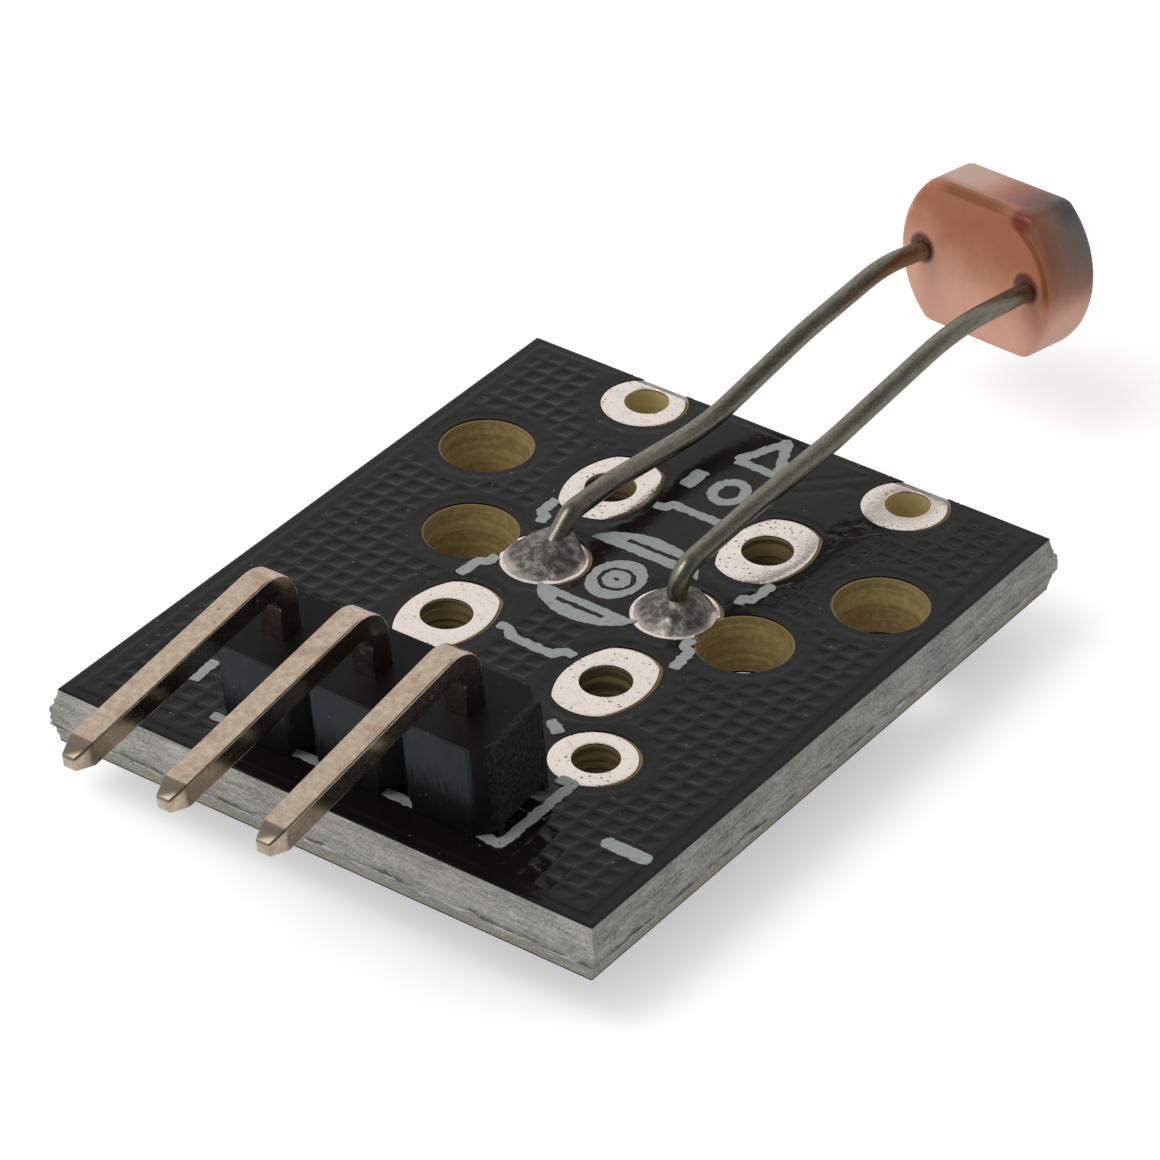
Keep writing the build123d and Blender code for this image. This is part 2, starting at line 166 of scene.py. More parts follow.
class Graph:
    """The node tree of one material or world."""

    def __init__(self, owner: Any) -> None:
        """Empty the owner's tree.

        Args:
            owner: The material or world.
        """
        self.owner = owner
        owner.use_nodes = True
        self.tree = owner.node_tree
        self.tree.nodes.clear()

    @classmethod
    def named(cls, name: str) -> "Graph":
        """The graph of a new material."""
        return cls(bpy.data.materials.new(name))

    def node(self, kind: str, settings: Optional[dict] = None, values: Optional[dict] = None) -> Placed:
        """Add one node.

        Args:
            kind: The node's type.
            settings: Its own settings, which are set first.
            values: Numbers, colours or wires for its inputs.

        Returns:
            The placed node.
        """
        node = self.tree.nodes.new(kind)
        for name, value in (settings or {}).items():
            setattr(node, name, value)
        for key, value in (values or {}).items():
            socket = find_socket(node.inputs, key)
            if isinstance(value, Wire):
                self.tree.links.new(value.socket, socket)
            elif isinstance(value, tuple) and len(value) == 3 and socket.type == "RGBA":
                socket.default_value = (*value, 1.0)
            else:
                socket.default_value = value
        return Placed(self, node)

    def position(self, stretch: tuple = (1.0, 1.0, 1.0), turn: tuple = (0.0, 0.0, 0.0)) -> Wire:
        """Object coordinates in millimetres.

        Args:
            stretch: Factors along the three axes after the turn, above 1 for finer patterns.
            turn: Rotation in degrees that brings the surface's own axes onto X, Y and Z.

        Returns:
            The vector wire.
        """
        place = self.node("ShaderNodeTexCoord")["Object"]
        values = {"Vector": place, "Rotation": tuple(math.radians(a) for a in turn)}
        turned = self.node("ShaderNodeMapping", {"vector_type": "POINT"}, values)["Vector"]
        scale = tuple(s / MM for s in stretch)
        values = {0: turned, 1: scale}
        return self.node("ShaderNodeVectorMath", {"operation": "MULTIPLY"}, values)["Vector"]

    def along(self, axis: Sequence[float], origin: Sequence[float] = (0, 0, 0)) -> Wire:
        """Millimetres along an axis from a point.

        Args:
            axis: The axis, a unit vector.
            origin: Where it reads zero, in millimetres.

        Returns:
            The distance.
        """
        values = {0: self.position(), 1: tuple(axis)}
        reach = self.node("ShaderNodeVectorMath", {"operation": "DOT_PRODUCT"}, values)["Value"]
        return reach - float(np.dot(axis, origin))

    def noise(self, scale: float, detail: float = 3.0, rough: float = 0.5,
              where: Optional[Wire] = None) -> Wire:
        """Fractal noise.

        Args:
            scale: Features for each millimetre.
            detail: Octaves.
            rough: How strong the finer octaves are.
            where: The coordinates, or none for the object's own.

        Returns:
            The value, about 0.5 on average.
        """
        values = {"Vector": where or self.position(), "Scale": scale, "Detail": detail,
                  "Roughness": rough}
        return self.node("ShaderNodeTexNoise", {"noise_dimensions": "3D"}, values)["Fac"]

    def specks(self, scale: float, size: tuple, patches: float, cover: tuple,
               rough: float = 0.5) -> Wire:
        """Small round specks that gather in patches.

        Args:
            scale: Specks for each millimetre.
            size: How far from its middle a speck fades out and is full, in shares of their spacing.
            patches: Patches for each millimetre.
            cover: Levels of the noise at which a patch starts and is full.
            rough: How ragged the patches are.

        Returns:
            The value, 1 on a speck.
        """
        values = {"Vector": self.position(), "Scale": scale, "Randomness": 1.0}
        spread = self.node("ShaderNodeTexVoronoi", {"feature": "F1"}, values)["Distance"]
        return spread.rise(*size) * self.noise(patches, rough=rough).rise(*cover)

    def mix(self, factor: Any, first: Any, second: Any) -> Wire:
        """Mix two colours.

        Args:
            factor: Share of the second colour.
            first: The first colour.
            second: The second colour.

        Returns:
            The colour wire.
        """
        values = {"Factor_Float": factor, "A_Color": first, "B_Color": second}
        settings = {"data_type": "RGBA", "blend_type": "MIX", "clamp_factor": True}
        return self.node("ShaderNodeMix", settings, values)["Result_Color"]

    def stain(self, colour: Any, *stains: tuple) -> Wire:
        """Lay stains over a colour, one after another.

        Args:
            colour: What they are laid over.
            *stains: For each one its colour, its strength and rows of a wire with the values at
                which the stain starts and is full. A stain shows where all its rows allow it.

        Returns:
            The colour wire.
        """
        for stain, strength, *rows in stains:
            share = strength
            for wire, start, end in rows:
                share = wire.rise(start, end) * share
            colour = self.mix(share, colour, stain)
        return colour

    def bump(self, height: Wire, depth: float, under: Optional[Wire] = None) -> Wire:
        """A bumped normal.

        Args:
            height: The height from 0 to 1.
            depth: What a height of 1 measures, in millimetres.
            under: A normal that this one is laid over.

        Returns:
            The normal wire.
        """
        values: dict = {"Height": height, "Distance": depth * MM, "Strength": 1.0}
        if under is not None:
            values["Normal"] = under
        return self.node("ShaderNodeBump", None, values)["Normal"]

    def surface(self, **values: Any) -> bpy.types.Material:
        """Close the graph with a Principled shader.

        Args:
            **values: Its inputs, with _ for a space in their names.

        Returns:
            The finished material.
        """
        inputs = {name.replace("_", " "): value for name, value in values.items()}
        shader = self.node("ShaderNodeBsdfPrincipled", None, inputs)
        self.close("ShaderNodeOutputMaterial", shader["BSDF"])
        return self.owner

    def close(self, kind: str, shader: Wire) -> None:
        """Add the output node of this kind and link the shader to it."""
        self.tree.links.new(shader.socket, self.node(kind).node.inputs["Surface"])


# Finishes


@dataclass(frozen=True)
class MaskFinish:
    """Glossy black solder mask, a little uneven where it was poured."""

    colour: tuple = (0.008, 0.0072, 0.0065)
    dust: tuple = (0.24, 0.23, 0.2)
    gloss: float = 0.13
    orange_peel: float = 0.009

    def material(self) -> bpy.types.Material:
        """Make the material.

        Returns:
            The material.
        """
        graph = Graph.named("solder_mask_black")
        dust = graph.specks(2.6, (0.09, 0.04), 1.3, (0.47, 0.56))
        colour = graph.mix(dust * 0.8, self.colour, self.dust)
        peel = graph.noise(5.0, 2.0) * 0.8 + graph.noise(22.0, 2.0) * 0.2
        rough = graph.noise(2.5).rise(0.35, 0.7) * 0.05 + self.gloss + dust * 0.3
        return graph.surface(Base_Color=colour, Roughness=rough, IOR=1.5, Specular_IOR_Level=0.17,
                             Normal=graph.bump(peel, self.orange_peel))


@dataclass(frozen=True)
class LaminateFinish:
    """Glass fibre laminate: pale streaks on its snapped edges, brown where it was drilled."""

    edge_light: tuple = (0.54, 0.54, 0.49)
    edge_dark: tuple = (0.16, 0.16, 0.142)
    edge_foot: tuple = (0.3, 0.265, 0.17)
    crack: tuple = (0.035, 0.035, 0.034)
    split: tuple = (0.72, 0.73, 0.7)
    bore: tuple = (0.42, 0.32, 0.125)
    bore_dark: tuple = (0.24, 0.165, 0.06)
    face: tuple = (0.26, 0.2, 0.09)
    half_width: float = 7.3
    half_length: float = 9.0
    crack_level: float = 0.46
    crack_wander: float = 0.34
    crack_jag: float = 0.16

    def material(self) -> bpy.types.Material:
        """Make the material.

        Returns:
            The material.
        """
        graph = Graph.named("glass_fibre_laminate")
        height = graph.along((0, 0, 1))
        outer_x = abs(graph.along((1, 0, 0))).rise(self.half_width, self.half_width + 0.1)
        outer_y = abs(graph.along((0, 1, 0))).rise(self.half_length, self.half_length + 0.1)
        outer = outer_x.higher(outer_y)
        strands = graph.noise(4.0, 4.0, 0.65, graph.position((0.3, 0.3, 6.0)))
        flecks = graph.noise(16.0, 5.0, 0.75, graph.position((0.7, 0.7, 1.3)))
        clouds = graph.noise(1.6, 3.0, 0.6, graph.position((0.5, 0.5, 1.4)))
        pale = (strands.rise(0.36, 0.66) * 0.3 + flecks.rise(0.36, 0.64) * 0.45
                + clouds.rise(0.35, 0.65) * 0.25)
        edge = graph.mix(pale, self.edge_dark, self.edge_light)
        wander = graph.noise(1.3, 3.0, 0.6, graph.position((1.0, 1.0, 0.3))) - 0.5
        jag = graph.noise(6.0, 4.0, 0.7) - 0.5
        above_crack = height + wander * self.crack_wander + jag * self.crack_jag - self.crack_level
        patches = graph.noise(2.6, 3.0, 0.6, graph.position((0.6, 0.6, 1.0)))
        edge = graph.stain(
            edge,
            (self.crack, 0.75, (above_crack, 0.0, 0.04), (above_crack, 0.2, 0.08),
             (patches, 0.42, 0.6)),
            (self.split, 0.85, (above_crack, -0.08, -0.03), (above_crack, 0.04, 0.0),
             (graph.noise(1.7, 2.0), 0.38, 0.52)))
        foot = height.rise(0.34, 0.12) * (1.0 - flecks.rise(0.4, 0.7) * 0.5)
        edge = graph.mix(foot * 0.55, edge, self.edge_foot)
        layers = graph.noise(1.0, 3.0, 0.5, graph.position((0.3, 0.3, 7.0)))
        ply = layers.rise(0.36, 0.66) * 0.6 + graph.noise(7.0).rise(0.4, 0.7) * 0.4
        bore = graph.mix(ply, self.bore_dark, self.bore)
        bore = graph.stain(bore, (self.face, 0.8, (height, 1.34, 1.42)))
        relief = strands * 0.35 + flecks * 0.45 + layers * 0.2
        return graph.surface(Base_Color=graph.mix(outer, bore, edge), Roughness=0.75 - outer * 0.1,
                             IOR=1.5, Specular_IOR_Level=0.25, Normal=graph.bump(relief, 0.03))


@dataclass(frozen=True)
class TinFinish:
    """Tinned foil with a warm cast and dark specks; a brown drilled wall whose brown is also painted
    shade on the foil's outer edge, paler as painted light on the back pads.
    """

    colour: tuple = (0.96, 0.86, 0.79)
    tarnish: tuple = (0.23, 0.175, 0.145)
    # The drilled wall's brown, which also lies on the foil's outer edge as a painted shade line.
    barrel_and_edge_shade: tuple = (0.1, 0.07, 0.03)
    barrel_pale: tuple = (0.3, 0.22, 0.09)
    # Painted light: a paler yellow brown on the front edge of the back pads.
    barrel_painted_light: tuple = (0.62, 0.5, 0.22)
    barrel_levels: tuple = (0.08, 1.42)

    def material(self) -> bpy.types.Material:
        """Make the material.

        Returns:
            The material.
        """
        graph = Graph.named("tinned_foil")
        height = graph.along((0, 0, 1))
        # The brown's levels reach the foil's outer edge, where it is a painted shade line round each
        # pad.
        low, high = self.barrel_levels
        barrel_and_edge_shade = height.rise(low - 0.04, low) * height.rise(high + 0.04, high)
        patches = graph.noise(2.6, 4.0, 0.65).rise(0.48, 0.72)
        specks = graph.specks(7.5, (0.3, 0.14), 2.4, (0.46, 0.58), 0.6)
        fine = graph.specks(17.0, (0.24, 0.1), 3.2, (0.46, 0.58), 0.6)
        drawn = graph.position((0.25, 2.0, 1.0), (0, 0, 30))
        scratches = graph.noise(9.0, 2.0, 0.5, drawn).rise(0.6, 0.72)
        dirt = (patches * 0.12 + specks + fine * 0.7 + scratches * 0.2).lower(1.0)
        tin = graph.mix(dirt, self.colour, self.tarnish)
        plies = graph.noise(1.0, 2.0, 0.5, graph.position((0.3, 0.3, 8.0))).rise(0.4, 0.6)
        wall = graph.mix(plies, self.barrel_and_edge_shade, self.barrel_pale)
        # Painted light on the front edge of the back pads.
        wall = graph.stain(wall, (self.barrel_painted_light, 0.85, (graph.along((0, 1, 0)), 7.2, 8.0)))
        grain = graph.noise(11.0) * 0.6 + graph.noise(2.2, 2.0) * 0.4
        return graph.surface(Base_Color=graph.mix(barrel_and_edge_shade, tin, wall), Metallic=1.0 - barrel_and_edge_shade * 0.9,
                             Roughness=0.24 + dirt * 0.3 + barrel_and_edge_shade * 0.3,
                             Normal=graph.bump(grain, 0.018))


@dataclass(frozen=True)
class HousingFinish:
    """Satin black moulded plastic: a painted blue grey sheen high on its front faces and a rough
    snapped end.
    """

    colour: tuple = (0.0065, 0.007, 0.0072)
    # The blue grey here is a painted sheen, a reflection of the pale floor on the upper front faces.
    painted_sheen: tuple = (0.031, 0.037, 0.04)
    crumb: tuple = (0.1, 0.11, 0.115)
    dust: tuple = (0.2, 0.2, 0.19)
    end_from: float = 3.86
    front_axis: tuple = (0.0126, -0.9928, -0.1193)
    front_origin: tuple = (0.1, -6.99, 1.66)
    front_from: float = 1.2

    def material(self) -> bpy.types.Material:
        """Make the material.

        Returns:
            The material.
        """
        graph = Graph.named("header_plastic_black")
        snapped = graph.along((1, 0, 0)).rise(self.end_from - 0.05, self.end_from)
        ahead = graph.along(self.front_axis, self.front_origin)
        front = ahead.rise(self.front_from - 0.05, self.front_from)
        crumbs = graph.noise(12.0, 4.0, 0.7)
        streaks = graph.noise(7.0, 3.0, 0.6, graph.position((1.6, 1.6, 0.12)))
        dust = graph.specks(3.6, (0.1, 0.04), 1.9, (0.48, 0.58))
        # Painted sheen: the upper part of the front faces turns blue grey in streaks, a painted
        # reflection that fades to black lower down.
        high = (graph.along((0, 0, 1)) + (streaks - 0.5) * 1.6).rise(2.1, 3.2)
        colour = graph.mix(high * front * (0.75 + streaks * 0.5), self.colour, self.painted_sheen)
        colour = graph.mix(crumbs.rise(0.42, 0.66) * snapped * 0.3, colour, self.crumb)
        colour = graph.mix(dust * 0.6, colour, self.dust)
        rough = 0.36 + graph.noise(3.0).rise(0.3, 0.7) * 0.1 + snapped * 0.2
        normal = graph.bump(crumbs * snapped, 0.018, graph.bump(graph.noise(16.0), 0.004))
        return graph.surface(Base_Color=colour, Roughness=rough, Normal=normal, IOR=1.5,
                             Specular_IOR_Level=0.11)


@dataclass(frozen=True)
class PinFinish:
    """Plated pins, pinkish tan and mottled, with brown spots, and painted shade on the top of their
    taper.
    """

    colour: tuple = (0.56, 0.43, 0.32)
    pale: tuple = (0.68, 0.56, 0.445)
    blotch: tuple = (0.36, 0.24, 0.165)
    spot: tuple = (0.11, 0.065, 0.035)
    # The cut colour is painted shade, a darker reflection painted on the top face of each taper.
    cut: tuple = (0.25, 0.215, 0.165)
    taper_normal: tuple = (0.0, -0.38, 0.92)
    taper_reach: float = 10.25
    taper_from: float = 14.29

    def material(self) -> bpy.types.Material:
        """Make the material.

        Returns:
            The material.
        """
        graph = Graph.named("header_pins_plated")
        # Painted shade: the top face of each pin's taper is darker and rougher.
        cut = (graph.along((0, -1, 0)).rise(self.taper_from, self.taper_from + 0.05)
               * graph.along(self.taper_normal).rise(self.taper_reach, self.taper_reach + 0.04))
        drawn = graph.noise(5.0, 4.0, 0.65, graph.position((2.0, 0.8, 2.0)))
        mottle = graph.noise(6.0, 4.0, 0.7)
        blotches = graph.noise(1.3, 3.0, 0.6).rise(0.5, 0.68)
        spots = graph.specks(1.7, (0.14, 0.07), 0.9, (0.47, 0.56))
        freckles = graph.specks(6.5, (0.2, 0.08), 2.0, (0.46, 0.6))
        colour = graph.mix(mottle.rise(0.4, 0.65), self.colour, self.pale)
        colour = graph.mix(blotches * 0.45 + drawn.rise(0.5, 0.75) * 0.3, colour, self.blotch)
        colour = graph.mix((spots * 0.7 + freckles * 0.45).lower(1.0), colour, self.spot)
        return graph.surface(Base_Color=graph.mix(cut, colour, self.cut), Metallic=1.0 - spots * 0.3,
                             Roughness=0.1 + mottle * 0.08 + cut * 0.15)


@dataclass(frozen=True)
class SolderFinish:
    """Dull mottled solder that brightens towards the edge of its pad."""

    colour: tuple = (0.29, 0.275, 0.24)
    dark: tuple = (0.12, 0.115, 0.1)
    bright: tuple = (0.62, 0.545, 0.5)
    pit: tuple = (0.06, 0.06, 0.055)
    rim_level: float = 1.56

    def material(self) -> bpy.types.Material:
        """Make the material.

        Returns:
            The material.
        """
        graph = Graph.named("solder_mottled")
        mottle = graph.noise(5.5, 4.0, 0.65)
        pits = graph.specks(7.0, (0.22, 0.1), 3.0, (0.4, 0.6))
        ragged = graph.along((0, 0, 1)) + (graph.noise(3.4, 4.0, 0.65) - 0.5) * 0.16
        rim = ragged.rise(self.rim_level + 0.04, self.rim_level - 0.04)
        colour = graph.mix(mottle.rise(0.42, 0.62), self.dark, self.colour)
        colour = graph.mix(rim * 0.85, graph.mix(pits, colour, self.pit), self.bright)
        return graph.surface(Base_Color=colour, Roughness=0.36 - rim * 0.12, Metallic=0.9,
                             Normal=graph.bump(mottle * 0.6 + pits * 0.4, 0.02))


@dataclass(frozen=True)
class LeadFinish:
    """Dull tinned wire with faint streaks and small pits."""

    colour: tuple = (0.31, 0.292, 0.235)
    dark: tuple = (0.135, 0.124, 0.09)
    pit: tuple = (0.07, 0.065, 0.045)

    def material(self) -> bpy.types.Material:
        """Make the material.

        Returns:
            The material.
        """
        graph = Graph.named("sensor_leads_tinned")
        streaks = graph.noise(5.0, 4.0, 0.65, graph.position((2.4, 0.3, 2.4), (0, 0, 4)))
        speckle = graph.noise(13.0, 3.0, 0.7)
        pits = graph.specks(8.0, (0.22, 0.1), 2.4, (0.45, 0.6))
        stain = graph.noise(0.8).rise(0.42, 0.7)
        shade = streaks.rise(0.35, 0.7) * 0.45 + speckle.rise(0.4, 0.62) * 0.4 + stain * 0.15
        colour = graph.mix(shade, self.colour, self.dark)
        colour = graph.mix(pits * 0.6, colour, self.pit)
        return graph.surface(Base_Color=colour, Roughness=0.3 + speckle * 0.08, Metallic=1.0)


@dataclass(frozen=True)
class ResinFinish:
    """Orange pink resin over ceramic, amber at its rim, with painted light low down and on the left,
    painted shade on its top and upper right rim, and painted shadow where the leads go in.
    """

    body: tuple = (0.45, 0.165, 0.085)
    # The pale colour is also painted light, low on the face and on the lower right rim.
    pale: tuple = (0.84, 0.45, 0.32)
    amber: tuple = (0.21, 0.06, 0.009)
    # The socket colour is a painted shadow round where each lead goes in.
    socket: tuple = (0.1, 0.022, 0.01)
    # The colour here is painted light on the left of the top flat.
    painted_top_light: tuple = (0.62, 0.43, 0.35)
    shade: tuple = (0.17, 0.075, 0.045)
    # The grey is painted shade on the upper right rim, away from the lead side.
    grey: tuple = (0.15, 0.13, 0.105)
    # The colour here is painted shade on the right of the top flat.
    painted_top_shade: tuple = (0.14, 0.045, 0.035)
    # The colour here is painted shade, a grey darkening of the upper right rim towards the far face.
    painted_rim_shade: tuple = (0.13, 0.12, 0.125)
    # The corner colour is painted shade in the upper right corner.
    corner: tuple = (0.06, 0.045, 0.045)
    blot: tuple = (0.2, 0.028, 0.016)
    arc_middle: tuple = (0.35, -0.15)
    arc_radius: float = 1.93
    blot_middle: tuple = (1.4, 1.78)
    # How far each painted shadow sits from its lead's entry.
    socket_shadow_shift: tuple = (-0.06, 0.04)

    def material(self, sensor: "Sensor") -> bpy.types.Material:
        """Make the material.

        Args:
            sensor: Whose own axes the colours follow.

        Returns:
            The material.
        """
        graph = Graph.named("sensor_resin_orange")
        across, upwards, depth = (graph.along(axis, sensor.centre)
                                  for axis in (sensor.row, sensor.rise, sensor.axis))

        def away(place: Sequence[float]) -> Wire:
            """Distance from a place on the sensor's lead side."""
            beside, above = across - place[0], upwards - place[1]
            return (beside * beside + above * above) ** 0.5

        clouds = graph.noise(0.9, 3.0, 0.55)
        waver = (clouds - 0.5) * 1.2
        # Painted light: the face turns pale towards its bottom and left, and at its far left.
        light = (upwards * 0.85 + across * 0.25 + waver).rise(0.9, -1.2)
        light = light.higher((across + waver).rise(-1.9, -2.4) * 0.8)
        ring = away(self.arc_middle)
        arc = abs(ring - self.arc_radius).rise(0.15, 0.05) * across.rise(0.9, 1.3)
        arc = arc * upwards.rise(-0.5, 0.1)
        flat = sensor.half_across - 0.12
        line = upwards.rise(flat - 0.1, flat + 0.02) * depth.rise(0.34, 0.2)
        line = line * across.rise(1.2, 0.5) * across.rise(-1.5, -0.9)
        side = ((ring, 1.97, 2.12), (across, 0.7, 1.4))
        shaded = (upwards - depth * 0.2 + waver * 0.5, -1.1, 1.1)
        colour = graph.stain(
            graph.mix(light, self.body, self.pale),
            # Painted light: the lower part of the right rim is pale.
            (self.pale, 1.0, *side, (upwards, 0.2, -1.0)),
            # Painted light on the left of the top flat.
            (self.painted_top_light, 0.8, (upwards, 1.8, 1.88), (across, 0.4, -0.9), (depth, 0.2, 0.6)),
            (self.shade, 0.75, *side, shaded),
            # Painted shade: the upper right rim turns grey away from the lead side.
            (self.grey, 1.0, *side, shaded, (depth, 0.35, 1.1)),
            # Painted shade on the right of the top flat.
            (self.painted_top_shade, 0.85, (upwards, 1.75, 1.9), (across + waver * 0.4, -0.3, 1.3),
             (depth, 0.2, 0.6)),
            # Painted shade: the upper right rim darkens to grey towards the far face.
            (self.painted_rim_shade, 0.8, (depth, 1.0, 1.5), (across, 0.9, 1.6), (upwards, 0.4, 1.4)))
        colour = graph.mix(line.higher(arc) * 0.85, colour, self.amber)
        # Painted shadow: a dark red brown patch round each lead's entry, strongest on the lead side.
        sockets = [away((sign * sensor.lead_pitch / 2 + self.socket_shadow_shift[0], self.socket_shadow_shift[1]))
                   for sign in (-1, 1)]
        colour = graph.stain(
            colour,
            *((self.socket, 0.95, (near + waver * 0.08, 0.46, 0.32), (depth, 0.3, 0.05))
              for near in sockets),
            # Painted shade in the upper right corner.
            (self.corner, 0.7, (upwards, 1.3, 1.8), (across, 1.2, 1.6), (depth, 0.7, 1.1)),
            (self.blot, 0.85, (away(self.blot_middle) + waver * 0.15, 0.4, 0.15), (depth, 0.6, 0.3)))
        return graph.surface(Base_Color=colour, Roughness=0.36, IOR=1.5, Specular_IOR_Level=0.35,
                             Coat_Weight=0.15, Coat_Roughness=0.15, Normal=graph.bump(clouds, 0.06))


@dataclass(frozen=True)
class PlainFinish:
    """A finish of one colour with grain, for pieces that show little of themselves."""

    name: str
    colour: tuple
    shade: tuple
    roughness: float = 0.4
    metallic: float = 0.0
    grain_scale: float = 6.0
    grain_depth: float = 0.01
    coat: float = 0.0

    def material(self) -> bpy.types.Material:
        """Make the material.

        Returns:
            The material.
        """
        graph = Graph.named(self.name)
        grain = graph.noise(self.grain_scale, 4.0, 0.6)
        broad = graph.noise(self.grain_scale / 5, 2.0)
        shaded = grain.rise(0.45, 0.7) * 0.6 + broad.rise(0.5, 0.7) * 0.4
        colour = graph.mix(shaded, self.colour, self.shade)
        return graph.surface(Base_Color=colour, Roughness=self.roughness + grain * 0.08,
                             Metallic=self.metallic, Normal=graph.bump(grain, self.grain_depth),
                             Coat_Weight=self.coat, Coat_Roughness=0.05)


@dataclass(frozen=True)
class InkFinish:
    """White legend ink, thin and a little worn."""

    colour: tuple = (0.33, 0.36, 0.335)
    thin: tuple = (0.17, 0.185, 0.175)

    def material(self) -> bpy.types.Material:
        """Make the material.

        Returns:
            The material.
        """
        graph = Graph.named("legend_ink_white")
        cover = graph.noise(6.0, 4.0, 0.65)
        holes = graph.specks(6.0, (0.16, 0.06), 2.5, (0.5, 0.62))
        colour = graph.mix(cover.rise(0.52, 0.72) * 0.6 + holes * 0.4, self.colour, self.thin)
        return graph.surface(Base_Color=colour, Roughness=0.62, Normal=graph.bump(cover, 0.012))


CERAMIC = PlainFinish("sensor_ceramic_bare", (0.72, 0.6, 0.5), (0.6, 0.48, 0.38), 0.6)
FILM = PlainFinish("sensor_film_orange", (0.58, 0.17, 0.035), (0.4, 0.1, 0.02), 0.35,
                   grain_scale=9.0, grain_depth=0.006, coat=0.8)
ELECTRODE = PlainFinish("sensor_electrode_metal", (0.66, 0.58, 0.5), (0.5, 0.43, 0.37), 0.3, 0.9,
                        grain_scale=9.0, grain_depth=0.006, coat=0.8)
RESISTOR_GLAZE = PlainFinish("resistor_body_glazed", (0.018, 0.018, 0.02), (0.04, 0.04, 0.042), 0.3)
RESISTOR_TIN = PlainFinish("resistor_cap_tin", (0.72, 0.7, 0.68), (0.5, 0.48, 0.46), 0.35, 0.95)


# Mesh steps


